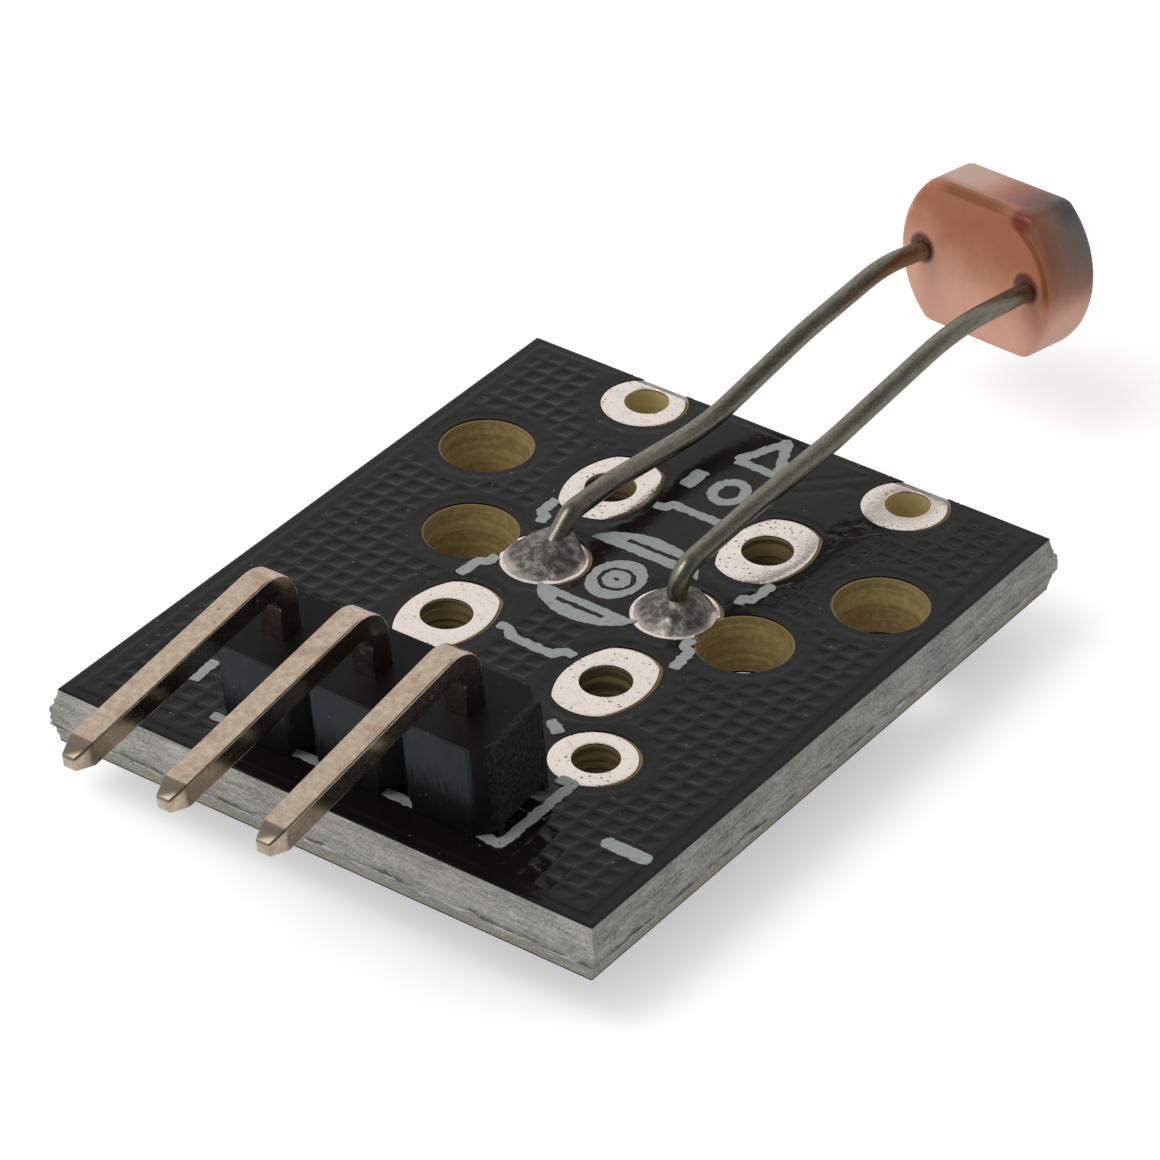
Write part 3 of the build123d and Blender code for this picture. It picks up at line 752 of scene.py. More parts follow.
class Bench:
    """The modelling steps that every sub-assembly uses."""

    weld: float = 0.0004

    @staticmethod
    def clear_selection() -> None:
        """Deselect every object."""
        for item in bpy.context.view_layer.objects:
            item.select_set(False)

    @classmethod
    def pick(cls, *items: bpy.types.Object) -> None:
        """Select these objects alone and make the first one active.

        Args:
            *items: The objects.
        """
        cls.clear_selection()
        for item in items:
            item.select_set(True)
        bpy.context.view_layer.objects.active = items[0]

    @classmethod
    def edit(cls, item: bpy.types.Object, *steps: Callable[[], Any]) -> None:
        """Run mesh operators on all of one object.

        Args:
            item: The object.
            *steps: Calls without arguments, run in edit mode with everything selected.
        """
        cls.pick(item)
        bpy.ops.object.mode_set(mode="EDIT")
        for step in steps:
            bpy.ops.mesh.select_all(action="SELECT")
            step()
        bpy.ops.object.mode_set(mode="OBJECT")

    @classmethod
    def sheet(cls, name: str, points: Array, close: bool = True) -> bpy.types.Object:
        """Lay a grid of faces over rows of points.

        Args:
            name: The new object's name.
            points: Rows by columns by 3, in millimetres. Coinciding ends are welded.
            close: Whether open rims are filled.

        Returns:
            The object, with its faces outwards where it is closed.
        """
        rows, columns = points.shape[:2]
        cls.clear_selection()
        bpy.ops.mesh.primitive_grid_add(x_subdivisions=columns - 1, y_subdivisions=rows - 1, size=2)
        item = bpy.context.active_object
        item.name = name
        item.data.vertices.foreach_set("co", np.ascontiguousarray(points, dtype=np.float32).ravel())
        cls.seal(item, close)
        return item

    @classmethod
    def seal(cls, item: bpy.types.Object, close: bool = False) -> None:
        """Weld an object's doubles and turn its faces outwards.

        Args:
            item: The object.
            close: Whether open rims are filled before that.
        """
        steps = [lambda: bpy.ops.mesh.remove_doubles(threshold=cls.weld)]
        if close:
            steps.append(lambda: bpy.ops.mesh.fill_holes(sides=0))
        cls.edit(item, *steps, lambda: bpy.ops.mesh.normals_make_consistent(inside=False))

    @classmethod
    def prism(cls, outline: Array, low: float, high: float) -> bpy.types.Object:
        """A straight prism, used to cut with.

        Args:
            outline: Points round it, by 2.
            low: Its lowest level.
            high: Its highest level.

        Returns:
            The prism.
        """
        loop = np.vstack([outline, outline[:1]])
        return cls.sheet("cutter", np.array([at_level(loop, level) for level in (low, high)]))

    @classmethod
    def apply(cls, item: bpy.types.Object, kind: str, **settings: Any) -> None:
        """Add a modifier to an object and apply it.

        Args:
            item: The object.
            kind: The modifier's type.
            **settings: Its settings.
        """
        modifier = item.modifiers.new(kind.lower(), kind)
        for name, value in settings.items():
            setattr(modifier, name, value)
        cls.pick(item)
        bpy.ops.object.modifier_apply(modifier=modifier.name)

    @classmethod
    def join(cls, items: Sequence[bpy.types.Object]) -> bpy.types.Object:
        """Join objects into the first one.

        Args:
            items: The objects.

        Returns:
            The first of them.
        """
        cls.pick(*items)
        bpy.ops.object.join()
        return items[0]

    @classmethod
    def cut(cls, item: bpy.types.Object, cutters: Sequence[bpy.types.Object]) -> None:
        """Take the cutters out of an object and delete them.

        Args:
            item: The object.
            cutters: Closed objects that lie apart from each other.
        """
        cutter = cls.join(cutters)
        cls.apply(item, "BOOLEAN", operation="DIFFERENCE", solver="MANIFOLD", object=cutter)
        bpy.data.objects.remove(cutter)

    @classmethod
    def copy_node(cls, node: str) -> bpy.types.Object:
        """Copy a solid's mesh, welded and in millimetres.

        Args:
            node: The solid's name.

        Returns:
            The copy, which stands apart from the solid.
        """
        source = frame["nodes"][node]
        item = bpy.data.objects.new(node + "_piece", source.data.copy())
        bpy.context.scene.collection.objects.link(item)
        item.data.transform(Matrix.Scale(1 / MM, 4))
        item.data.materials.clear()
        cls.edit(item, lambda: bpy.ops.mesh.remove_doubles(threshold=cls.weld))
        return item

    @classmethod
    def soften(cls, item: bpy.types.Object, width: float, angle: float = 30.0,
               segments: int = 3) -> None:
        """Merge flat triangles of a copied solid and round its edges.

        Args:
            item: The object.
            width: How far the rounding reaches from each edge.
            angle: Edges sharper than this are rounded, in degrees.
            segments: Faces across each rounding.
        """
        cls.edit(item, lambda: bpy.ops.mesh.dissolve_limited(angle_limit=math.radians(1.0)))
        cls.apply(item, "BEVEL", width=width, segments=segments, limit_method="ANGLE",
                  angle_limit=math.radians(angle), use_clamp_overlap=True, harden_normals=False)

    @classmethod
    def finish(cls, item: bpy.types.Object, name: str, material: bpy.types.Material, slot: str,
               nodes: Sequence[str], smooth: float) -> None:
        """Bring a piece to metres, dress it and hand it to the frame.

        Args:
            item: The modelled object, in millimetres.
            name: The piece's name.
            material: Its material.
            slot: The record's slot that the material belongs to; not used.
            nodes: The solids that it stands for.
            smooth: Faces that meet at less than this are shaded as one, in degrees.
        """
        cls.pick(item)
        item.scale = (MM, MM, MM)
        bpy.ops.object.transform_apply(location=True, rotation=True, scale=True)
        bpy.ops.object.shade_smooth_by_angle(angle=math.radians(smooth))
        cls.apply(item, "WEIGHTED_NORMAL", keep_sharp=True, weight=90)
        item.name = name
        item.data.name = name
        item.data.materials.clear()
        item.data.materials.append(material)
        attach(item, "root")
        if nodes:
            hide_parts(*nodes)
        LOG.info("%s: %d faces", name, len(item.data.polygons))

    @classmethod
    def dress_node(cls, node: str, name: str, material: bpy.types.Material, slot: str, smooth: float,
                   rounding: tuple = (), nudge: Sequence[float] = (0.0, 0.0, 0.0)) -> None:
        """Finish a copy of one solid.

        Args:
            node: The solid's name.
            name: The piece's name.
            material: Its material.
            slot: The record's slot that the material belongs to.
            smooth: Faces that meet at less than this are shaded as one, in degrees.
            rounding: How its edges are softened, as soften takes it, or nothing.
            nudge: How far it moves from the solid's place, in millimetres.
        """
        item = cls.copy_node(node)
        item.data.transform(Matrix.Translation(nudge))
        if rounding:
            cls.soften(item, *rounding)
        cls.finish(item, name, material, slot, [node], smooth)


# Outlines on the board, as signed distances in millimetres: below zero inside


def at_level(flat: Array, level: Any) -> Array:
    """Points of a plane at a level, or each at its own."""
    return np.column_stack([flat, np.broadcast_to(level, len(flat))])


def circle(count: int) -> Array:
    """Points round a circle of radius 1, the last on the first."""
    turns = np.linspace(0, 2 * np.pi, count + 1)
    return np.column_stack([np.cos(turns), np.sin(turns)])


def relief(points: Array, scale: float, level: float) -> Array:
    """Noise at points of a plane, at so many features for each millimetre."""
    return np.array([noise.noise(Vector((x * scale, y * scale, level))) for x, y in points])


def disc(x: Array, y: Array, centre: Sequence[float], radius: float) -> Array:
    """Signed distance to a circle."""
    return np.hypot(x - centre[0], y - centre[1]) - radius


def long_slot(x: Array, y: Array, centre: Sequence[float], length: float, width: float) -> Array:
    """Signed distance to a slot with round ends that runs along Y.

    Args:
        x: Places along X, in millimetres.
        y: Places along Y, as many.
        centre: The slot's middle.
        length: Its length over all.
        width: Its width.

    Returns:
        The distance at each place, in millimetres.
    """
    radius = width / 2
    beyond = np.maximum(np.abs(y - centre[1]) - (length / 2 - radius), 0)
    return np.hypot(x - centre[0], beyond) - radius


def segment(x: Array, y: Array, start: Sequence[float], end: Sequence[float]) -> Array:
    """Distance to a straight stretch.

    Args:
        x: Places along X, in millimetres.
        y: Places along Y, as many.
        start: One end of the stretch.
        end: Its other end.

    Returns:
        The distance at each place, in millimetres.
    """
    run = np.subtract(end, start)
    share = ((x - start[0]) * run[0] + (y - start[1]) * run[1]) / run.dot(run)
    share = np.clip(share, 0, 1)
    return np.hypot(x - start[0] - share * run[0], y - start[1] - share * run[1])


def ease(value: Array, start: float, end: float) -> Array:
    """Soft step from 0 at start to 1 at end."""
    share = np.clip((value - start) / (end - start), 0, 1)
    return share * share * (3 - 2 * share)


def ring_outline(inside: Callable[[Array, Array], Array], centre: Sequence[float], count: int,
                 reach: float = 3.0) -> Array:
    """Find an outline by rays from a point.

    Args:
        inside: Signed distance, below zero inside.
        centre: A point inside.
        count: How many rays.
        reach: How far out to look.

    Returns:
        One point on each ray, count by 2.
    """
    angles = np.linspace(0, 2 * np.pi, count, endpoint=False)
    near, far = np.zeros(count), np.full(count, reach)
    for _ in range(26):
        middle = (near + far) / 2
        hit = inside(centre[0] + middle * np.cos(angles), centre[1] + middle * np.sin(angles)) < 0
        near, far = np.where(hit, middle, near), np.where(hit, far, middle)
    return np.column_stack([centre[0] + near * np.cos(angles), centre[1] + near * np.sin(angles)])


@dataclass(frozen=True)
class Pad:
    """A plated pad: its hole, and its foil, which is not quite in line with it."""

    name: str
    hole: tuple
    hole_diameter: float
    foil_diameter: Optional[float]
    foil_shift: tuple = (0.0, 0.0)
    slot_length: float = 2.81
    slot_width: float = 2.22
    side_arc: float = 2.13
    waist: float = 2.07

    @property
    def middle(self) -> tuple:
        """Middle of the foil."""
        return (self.hole[0] + self.foil_shift[0], self.hole[1] + self.foil_shift[1])

    def foil(self, x: Array, y: Array) -> Array:
        """Signed distance to the foil's outline, a disc or a slot between two bowed sides.

        Args:
            x: Places along X, in millimetres.
            y: Places along Y, as many.

        Returns:
            The distance at each place, in millimetres.
        """
        if self.foil_diameter:
            return disc(x, y, self.middle, self.foil_diameter / 2)
        bow = self.side_arc - self.waist / 2
        left = disc(x, y, (self.middle[0] - bow, self.middle[1]), self.side_arc)
        right = disc(x, y, (self.middle[0] + bow, self.middle[1]), self.side_arc)
        slot = long_slot(x, y, self.middle, self.slot_length, self.slot_width)
        return np.maximum(np.maximum(left, right), slot)

    def opening(self, x: Array, y: Array, shift: Sequence[float], margin: float) -> Array:
        """Signed distance to an opening that follows the foil at a margin."""
        return self.foil(x - shift[0], y - shift[1]) - margin


@dataclass
class Layout:
    """Where everything sits on the board, in millimetres."""

    width: float = 15.0
    length: float = 18.5
    bare_diameter: float = 2.25
    bare_rim: float = 0.05
    bare_taper: float = 0.21
    foil_edge_gap: float = 0.19
    mask_margin: float = 0.05
    mask_shift: tuple = (0.022, 0.03)
    bare_holes: tuple = ((-5.615, 4.6), (5.795, 4.6), (-3.74, 1.445), (4.12, 1.445))
    header_x: float = 0.1
    header_y: float = -6.88
    header_pitch: float = 2.54
    header_yaw: float = 0.73
    sensor_pads: tuple = ((-1.63, 1.59), (2.13, 1.59))
    back_y: float = 8.46
    columns: tuple = (("left", -3.61, -2.135), ("right", 4.01, 2.415))
    switch_rows: tuple = (("back", 4.88), ("front", -1.65))
    single_pad: tuple = (3.97, -4.2)
    pads: list = field(default_factory=list)

    def __post_init__(self) -> None:
        """List the pads."""
        for side, back_x, switch_x in self.columns:
            self.pads.append(Pad(f"pad_back_{side}", (back_x, self.back_y), 1.1, 2.07, (-0.03, -0.12)))
            self.pads += [Pad(f"pad_switch_{row}_{side}", (switch_x, y), 1.25, None, (0.01, -0.03))
                          for row, y in self.switch_rows]
        self.pads.append(Pad("pad_single", self.single_pad, 1.13, 2.07, (-0.04, -0.06)))
        self.pads += [Pad(f"pad_sensor_{side}", place, 0.8, 2.12, (0.0, -0.1))
                      for side, place in zip(("left", "right"), self.sensor_pads)]
        self.pads += [Pad(f"pad_header_{number}", place, 1.16, 1.85)
                      for number, place in enumerate(self.header_pads, start=1)]

    @property
    def header_pads(self) -> list:
        """Places of the header's three pads.

        Returns:
            Each hole's middle.
        """
        turn = math.radians(self.header_yaw)
        return [(self.header_x + x * math.cos(turn), self.header_y + x * math.sin(turn))
                for x in (-self.header_pitch, 0.0, self.header_pitch)]


# Board


@dataclass
class Hatch:
    """The foil under the mask: a pour with square windows, kept clear of holes and pads."""

    pitch: float = 0.51
    phase: tuple = (6.79, -0.44)
    window: float = 0.34
    slope: float = 0.036
    foil_height: float = 0.015
    hole_moat: float = 1.42
    pad_moat: float = 0.27
    border: float = 0.2
    pour: tuple = (-7.2, 7.15, -8.95, 9.0)
    trace_gap: float = 0.14
    trace_width: float = 0.3
    traces: tuple = (((4.0, 7.33), (3.43, 6.6), (3.4, 6.0)), ((1.45, 7.5), (3.0, 9.0)),
                     ((-3.9, 7.15), (-3.3, 6.5), (-3.3, 5.9)))
    zones: tuple = ((-7.3, -3.2, -9.2, 9.2), (3.2, 7.3, -9.2, 9.2), (-0.62, 0.95, -2.8, -0.2))
    rolled: tuple = (0.0, 0.02, 0.05, 0.085)
    plain_edge: float = 0.12

    def window_lines(self, low: float, high: float, phase: float) -> Array:
        """Places of the mesh lines along one axis.

        Args:
            low: Where the board starts.
            high: Where it ends.
            phase: The middle of one window.

        Returns:
            Places in rising order, closer together on the windows' slopes.
        """
        half = self.window / 2
        spots = (-self.pitch / 2, -half - self.slope / 2, -half + self.slope / 3, -half + self.slope,
                 0.0, half - self.slope, half - self.slope / 3, half + self.slope / 2)
        first = math.ceil((low - phase) / self.pitch) - 1
        last = math.floor((high - phase) / self.pitch) + 1
        lines = [phase + cell * self.pitch + spot for cell in range(first, last + 1) for spot in spots]
        lines = [line for line in lines if low + self.plain_edge < line < high - self.plain_edge]
        return np.array([*(low + step for step in self.rolled), *lines,
                         *(high - step for step in reversed(self.rolled))])

    def moat(self, x: Array, y: Array, layout: Layout) -> Array:
        """Signed distance to the nearest place without foil, apart from the windows.

        Args:
            x: Places along X, in millimetres.
            y: Places along Y, as many.
            layout: Where the holes and pads are.

        Returns:
            The distance at each place, in millimetres.
        """
        nearest = np.full(x.shape, 9.0)
        for hole in layout.bare_holes:
            nearest = np.minimum(nearest, disc(x, y, hole, self.hole_moat))
        for pad in layout.pads:
            if not pad.name.startswith("pad_header"):
                nearest = np.minimum(nearest, pad.opening(x, y, (0.0, 0.0), self.pad_moat))
        for trace in self.traces:
            for start, end in zip(trace, trace[1:]):
                off = segment(x, y, start, end) - self.trace_width / 2 - self.trace_gap / 2
                nearest = np.minimum(nearest, np.abs(off) - self.trace_gap / 2)
        left, right, front, back = self.pour
        outside = np.maximum(np.maximum(left - x, x - right), np.maximum(front - y, y - back))
        return np.minimum(nearest, -outside)

    def sunk(self, x: Array, y: Array, layout: Layout) -> Array:
        """How far the mask sinks at a place, from 0 over foil to 1.

        Args:
            x: Places along X, in millimetres.
            y: Places along Y, as many.
            layout: Where the holes and pads are.

        Returns:
            The share at each place.
        """
        moat = self.moat(x, y, layout)
        half = self.window / 2
        cell_x = np.abs((x - self.phase[0] + self.pitch / 2) % self.pitch - self.pitch / 2)
        cell_y = np.abs((y - self.phase[1] + self.pitch / 2) % self.pitch - self.pitch / 2)
        window = ease(np.maximum(cell_x, cell_y), half + self.slope / 2, half - self.slope)
        zone = np.zeros(x.shape, bool)
        for left, right, front, back in self.zones:
            zone |= (x > left) & (x < right) & (y > front) & (y < back)
        window = window * zone * ease(moat, self.border, self.border + 0.09)
        return np.maximum(window, ease(moat, 0.035, -0.035))


@dataclass
class Board:
    """Laminate core with a mask on each face, and the ink marks on its upper one."""

    layout: Layout
    laminate_low: float = 0.06
    laminate_high: float = 1.44
    top: float = 1.5
    groove: float = 0.42
    groove_slope: float = 12.0
    web: float = 0.07
    plating: float = 0.05
    cut_past: float = 0.3
    foil_clearance: float = 1.05
    roll_width: float = 0.05
    roll_depth: float = 0.012
    edge_steps: tuple = (170, 210, 170, 210)
    hatch: Hatch = field(default_factory=Hatch)

    def build(self) -> None:
        """Make the laminate and both masks."""
        mask = MaskFinish().material()
        self._mask(Side.TOP, "mask_top", mask)
        self._mask(Side.BOTTOM, "mask_bottom", mask)
        self._laminate()

    def _cutters(self, low: float, high: float, side: Side) -> tuple:
        """Prisms for every opening in one mask, in two groups whose members lie apart.

        Args:
            low: The prisms' lowest level.
            high: Their highest level.
            side: Which face of the board.

        Returns:
            The bare holes' prisms, and those of the pads.
        """
        layout = self.layout
        radius = layout.bare_diameter / 2 + layout.bare_rim
        if side is Side.BOTTOM:
            radius -= layout.bare_rim + layout.bare_taper
        holes = [Bench.prism(np.array(hole) + circle(72)[:-1] * radius, low, high)
                 for hole in layout.bare_holes]
        cutters = []
        for pad in layout.pads:
            centre = (pad.middle[0] + layout.mask_shift[0], pad.middle[1] + layout.mask_shift[1])
            outline = ring_outline(
                lambda x, y, p=pad: p.opening(x, y, layout.mask_shift, layout.mask_margin), centre, 88)
            cutters.append(Bench.prism(outline, low, high))
        if side is Side.BOTTOM:
            for end in ("left", "right"):
                near, far = (np.array(corner)[:2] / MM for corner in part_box(f"pad_resistor_{end}"))
                corners = np.array([near, (far[0], near[1]), far, (near[0], far[1])])
                middle = (near + far) / 2
                outline = middle + (corners - middle) * self.foil_clearance
                cutters.append(Bench.prism(outline, low, high))
        return holes, cutters

    def _mask(self, side: Side, node: str, material: bpy.types.Material) -> None:
        """Make one mask: a film whose outer face follows the foil below it.

        Args:
            side: Which face of the board.
            node: The solid that it stands for.
            material: Its material.
        """
        layout, hatch = self.layout, self.hatch
        half_x, half_y = layout.width / 2, layout.length / 2
        columns = hatch.window_lines(-half_x, half_x, hatch.phase[0])
        rows = hatch.window_lines(-half_y, half_y, hatch.phase[1])
        x, y = np.meshgrid(columns, rows)
        edge = np.minimum(half_x - np.abs(x), half_y - np.abs(y))
        roll = (1 - ease(edge, 0.0, self.roll_width)) * self.roll_depth
        x, y = self._snap(x, y)
        drop = hatch.sunk(x, y, layout) * hatch.foil_height + roll
        outer, inner = self.top, self.laminate_high
        if side is Side.BOTTOM:
            outer, inner = 0.0, self.laminate_low
        points = np.dstack([x, y, outer - side.value * drop])
        item = Bench.sheet(node, points, close=False)
        Bench.pick(item)
        bpy.ops.object.mode_set(mode="EDIT")
        bpy.ops.mesh.select_all(action="SELECT")
        bpy.ops.mesh.region_to_loop()
        bpy.ops.mesh.extrude_edges_move(TRANSFORM_OT_translate={"value": (0, 0, -side.value)})
        bpy.ops.mesh.edge_face_add()
        bpy.ops.object.mode_set(mode="OBJECT")
        for vertex in item.data.vertices:
            if abs(vertex.co.z - outer) > 0.5:
                vertex.co.z = inner
        Bench.edit(item, lambda: bpy.ops.mesh.normals_make_consistent(inside=False))
        low, high = min(outer, inner) - self.cut_past, max(outer, inner) + self.cut_past
        for group in self._cutters(low, high, side):
            Bench.cut(item, group)
        Bench.finish(item, node + "_film", material, "solder_mask", [node], 60.0)

    def _snap(self, x: Array, y: Array) -> tuple:
        """Draw mesh points that lie near a moat round a hole onto its circle.

        Args:
            x: Places along X, in millimetres.
            y: Places along Y, as many.

        Returns:
            The moved places.
        """
        circles = [(hole, self.hatch.hole_moat) for hole in self.layout.bare_holes]
        circles += [(pad.middle, pad.foil_diameter / 2 + self.hatch.pad_moat)
                    for pad in self.layout.pads if pad.foil_diameter]
        for centre, radius in circles:
            reach = np.hypot(x - centre[0], y - centre[1])
            for ring in (radius - 0.035, radius + 0.035):
                near = np.abs(reach - ring) < 0.034
                x = np.where(near, centre[0] + (x - centre[0]) * ring / np.maximum(reach, 0.1), x)
                y = np.where(near, centre[1] + (y - centre[1]) * ring / np.maximum(reach, 0.1), y)
        return x, y

    def _outward(self, height: float) -> float:
        """How far the edge stands out from the board's face outline at a level.

        Args:
            height: The level.

        Returns:
            The distance, in millimetres.
        """
        depth = np.minimum(self.laminate_high - height, height - self.laminate_low)
        slope = np.minimum(depth, self.groove) * math.tan(math.radians(self.groove_slope))
        return slope + ease(depth, self.groove - 0.015, self.groove + 0.02) * self.web

    def _laminate(self) -> None:
        """Make the core, with ragged edges where it was snapped and rings in its drilled holes."""
        layout = self.layout
        loop, normals = self._edge_loop()
        rows = []
        for level in np.linspace(self.laminate_low, self.laminate_high, 30):
            inside = min(level - self.laminate_low, self.laminate_high - level)
            ragged = np.array([self._chipping(x, y, level) for x, y in loop])
            out = self._outward(level) + ragged * ease(inside, 0.0, 0.12)
            rows.append(at_level(loop + normals * out[:, None], level))
        item = Bench.sheet("laminate", np.array(rows))
        cutters = [self._drill(hole, layout.bare_diameter / 2, layout.bare_taper)
                   for hole in layout.bare_holes]
        cutters += [self._drill(pad.hole, pad.hole_diameter / 2 + self.plating, 0.0)
                    for pad in layout.pads]
        Bench.cut(item, cutters)
        Bench.finish(item, "laminate_core", LaminateFinish().material(), "laminate", ["laminate"], 50.0)

    def _edge_loop(self) -> tuple:
        """Points round the board's outline, and the outward direction at each.

        Returns:
            Both, with the first point again at the end.
        """
        half = np.array([self.layout.width / 2, self.layout.length / 2])
        corners = np.array([(-1, -1), (1, -1), (1, 1), (-1, 1)]) * half
        outwards = np.array([(0, -1), (1, 0), (0, 1), (-1, 0)])
        loop, normals = [], []
        for index, count in enumerate(self.edge_steps):
            start, end = corners[index], corners[(index + 1) % 4]
            loop += [start + (end - start) * step / count for step in range(count)]
            normals += [outwards[index] + outwards[index - 1]] + [outwards[index]] * (count - 1)
        return np.array(loop + loop[:1]), np.array(normals + normals[:1])

    @staticmethod
    def _chipping(x: float, y: float, level: float) -> float:
        """How far the snapped edge stands out at a place, below zero in a chip.

        Args:
            x: The place along X.
            y: The place along Y.
            level: Its level.

        Returns:
            The distance, in millimetres.
        """
        streak = noise.noise(Vector((x * 0.8, y * 0.8, level * 9.0)))
        fine = noise.noise(Vector((x * 4.0, y * 4.0, level * 14.0 + 7.0)))
        chip = max(0.0, noise.noise(Vector((x * 1.3, y * 1.3, level * 2.5 + 30.0))) - 0.22)
        return streak * 0.03 + fine * 0.018 - chip * 0.11

    def _drill(self, hole: Sequence[float], radius: float, taper: float) -> bpy.types.Object:
        """A cutter whose wall is lightly ringed, as a drill leaves it.

        Args:
            hole: Its middle.
            radius: Its radius at the upper face.
            taper: How much narrower it is at the lower face.

        Returns:
            The cutter.
        """
        rows = []
        for level in np.linspace(self.laminate_low - 0.02, self.laminate_high + 0.02, 26):
            ring = 0.003 * math.sin(level * 47.0 + hole[0]) + 0.002 * math.sin(level * 103.0 + hole[1])
            reach = radius + ring - taper * (self.laminate_high - level) / self.laminate_high
            rows.append(at_level(np.array(hole) + circle(64) * reach, level))
        return Bench.sheet("cutter", np.array(rows))


@dataclass
class TinnedPads:
    """Every plated pad: tin that pillows between the hole and the foil's edge, on both faces."""

    layout: Layout
    low: float = 0.06
    high: float = 1.44
    plating: float = 0.05
    columns: int = 112
    foil_rise: float = 0.012
    waviness: float = 0.012
    crown: tuple = ((0.0, -0.02), (0.006, 0.036), (0.06, 0.043), (0.14, 0.046), (0.3, 0.049),
                    (0.5, 0.05), (0.7, 0.048), (0.85, 0.045), (0.95, 0.041), (0.994, 0.034),
                    (1.0, -0.01))

    def build(self) -> None:
        """Make each pad."""
        material = TinFinish().material()
        for pad in self.layout.pads:
            item = self._pad(pad)
            Bench.finish(item, pad.name + "_tin", material, "tinned_pads", [pad.name], 40.0)

    def _inside(self, pad: Pad, x: Array, y: Array) -> Array:
        """Signed distance to the foil that is left by the board's edge and the bare holes.

        Args:
            pad: The pad.
            x: Places along X, in millimetres.
            y: Places along Y, as many.

        Returns:
            The distance at each place, in millimetres.
        """
        layout = self.layout
        edge_x = np.abs(x) - layout.width / 2 + layout.foil_edge_gap
        edge_y = np.abs(y) - layout.length / 2 + layout.foil_edge_gap
        far = np.maximum(pad.foil(x, y), np.maximum(edge_x, edge_y))
        for hole in layout.bare_holes:
            far = np.maximum(far, -disc(x, y, hole, layout.bare_diameter / 2 + layout.bare_rim))
        return far

    def _pad(self, pad: Pad) -> bpy.types.Object:
        """Make one pad.

        Args:
            pad: Its sizes and place.

        Returns:
            The object, closed all round.
        """
        outline = ring_outline(lambda x, y: self._inside(pad, x, y), pad.hole, self.columns)
        outline = np.vstack([outline, outline[:1]])
        centre = np.array(pad.hole)
        away = outline - centre
        reach = np.linalg.norm(away, axis=1)
        away = away / reach[:, None]
        bore = pad.hole_diameter / 2
        rows = [(0.0, 0.0, (self.low + self.high) / 2, 0)]
        rows += [(share, 0.0, self.high + self.foil_rise + rise, 1) for share, rise in self.crown]
        rows += [(1.0, 0.0, self.high, 0), (0.0, self.plating, self.high, 0)]
        rows += [(0.0, self.plating, self.low, 0), (1.0, 0.0, self.low, 0)]
        rows += [(share, 0.0, self.low - self.foil_rise - rise, -1)
                 for share, rise in reversed(self.crown)]
        rows.append(rows[0])
        points = []
        for share, out, level, crowned in rows:
            radius = np.where(share > 0, bore + share * (reach - bore), bore + out)
            flat = centre + away * radius[:, None]
            wave = relief(flat, 1.6, level) * min(1.0, 4 * share * (1 - share))
            wave[-1] = wave[0]
            points.append(at_level(flat, level + crowned * self.waviness * wave))
        return Bench.sheet(pad.name, np.array(points), close=False)


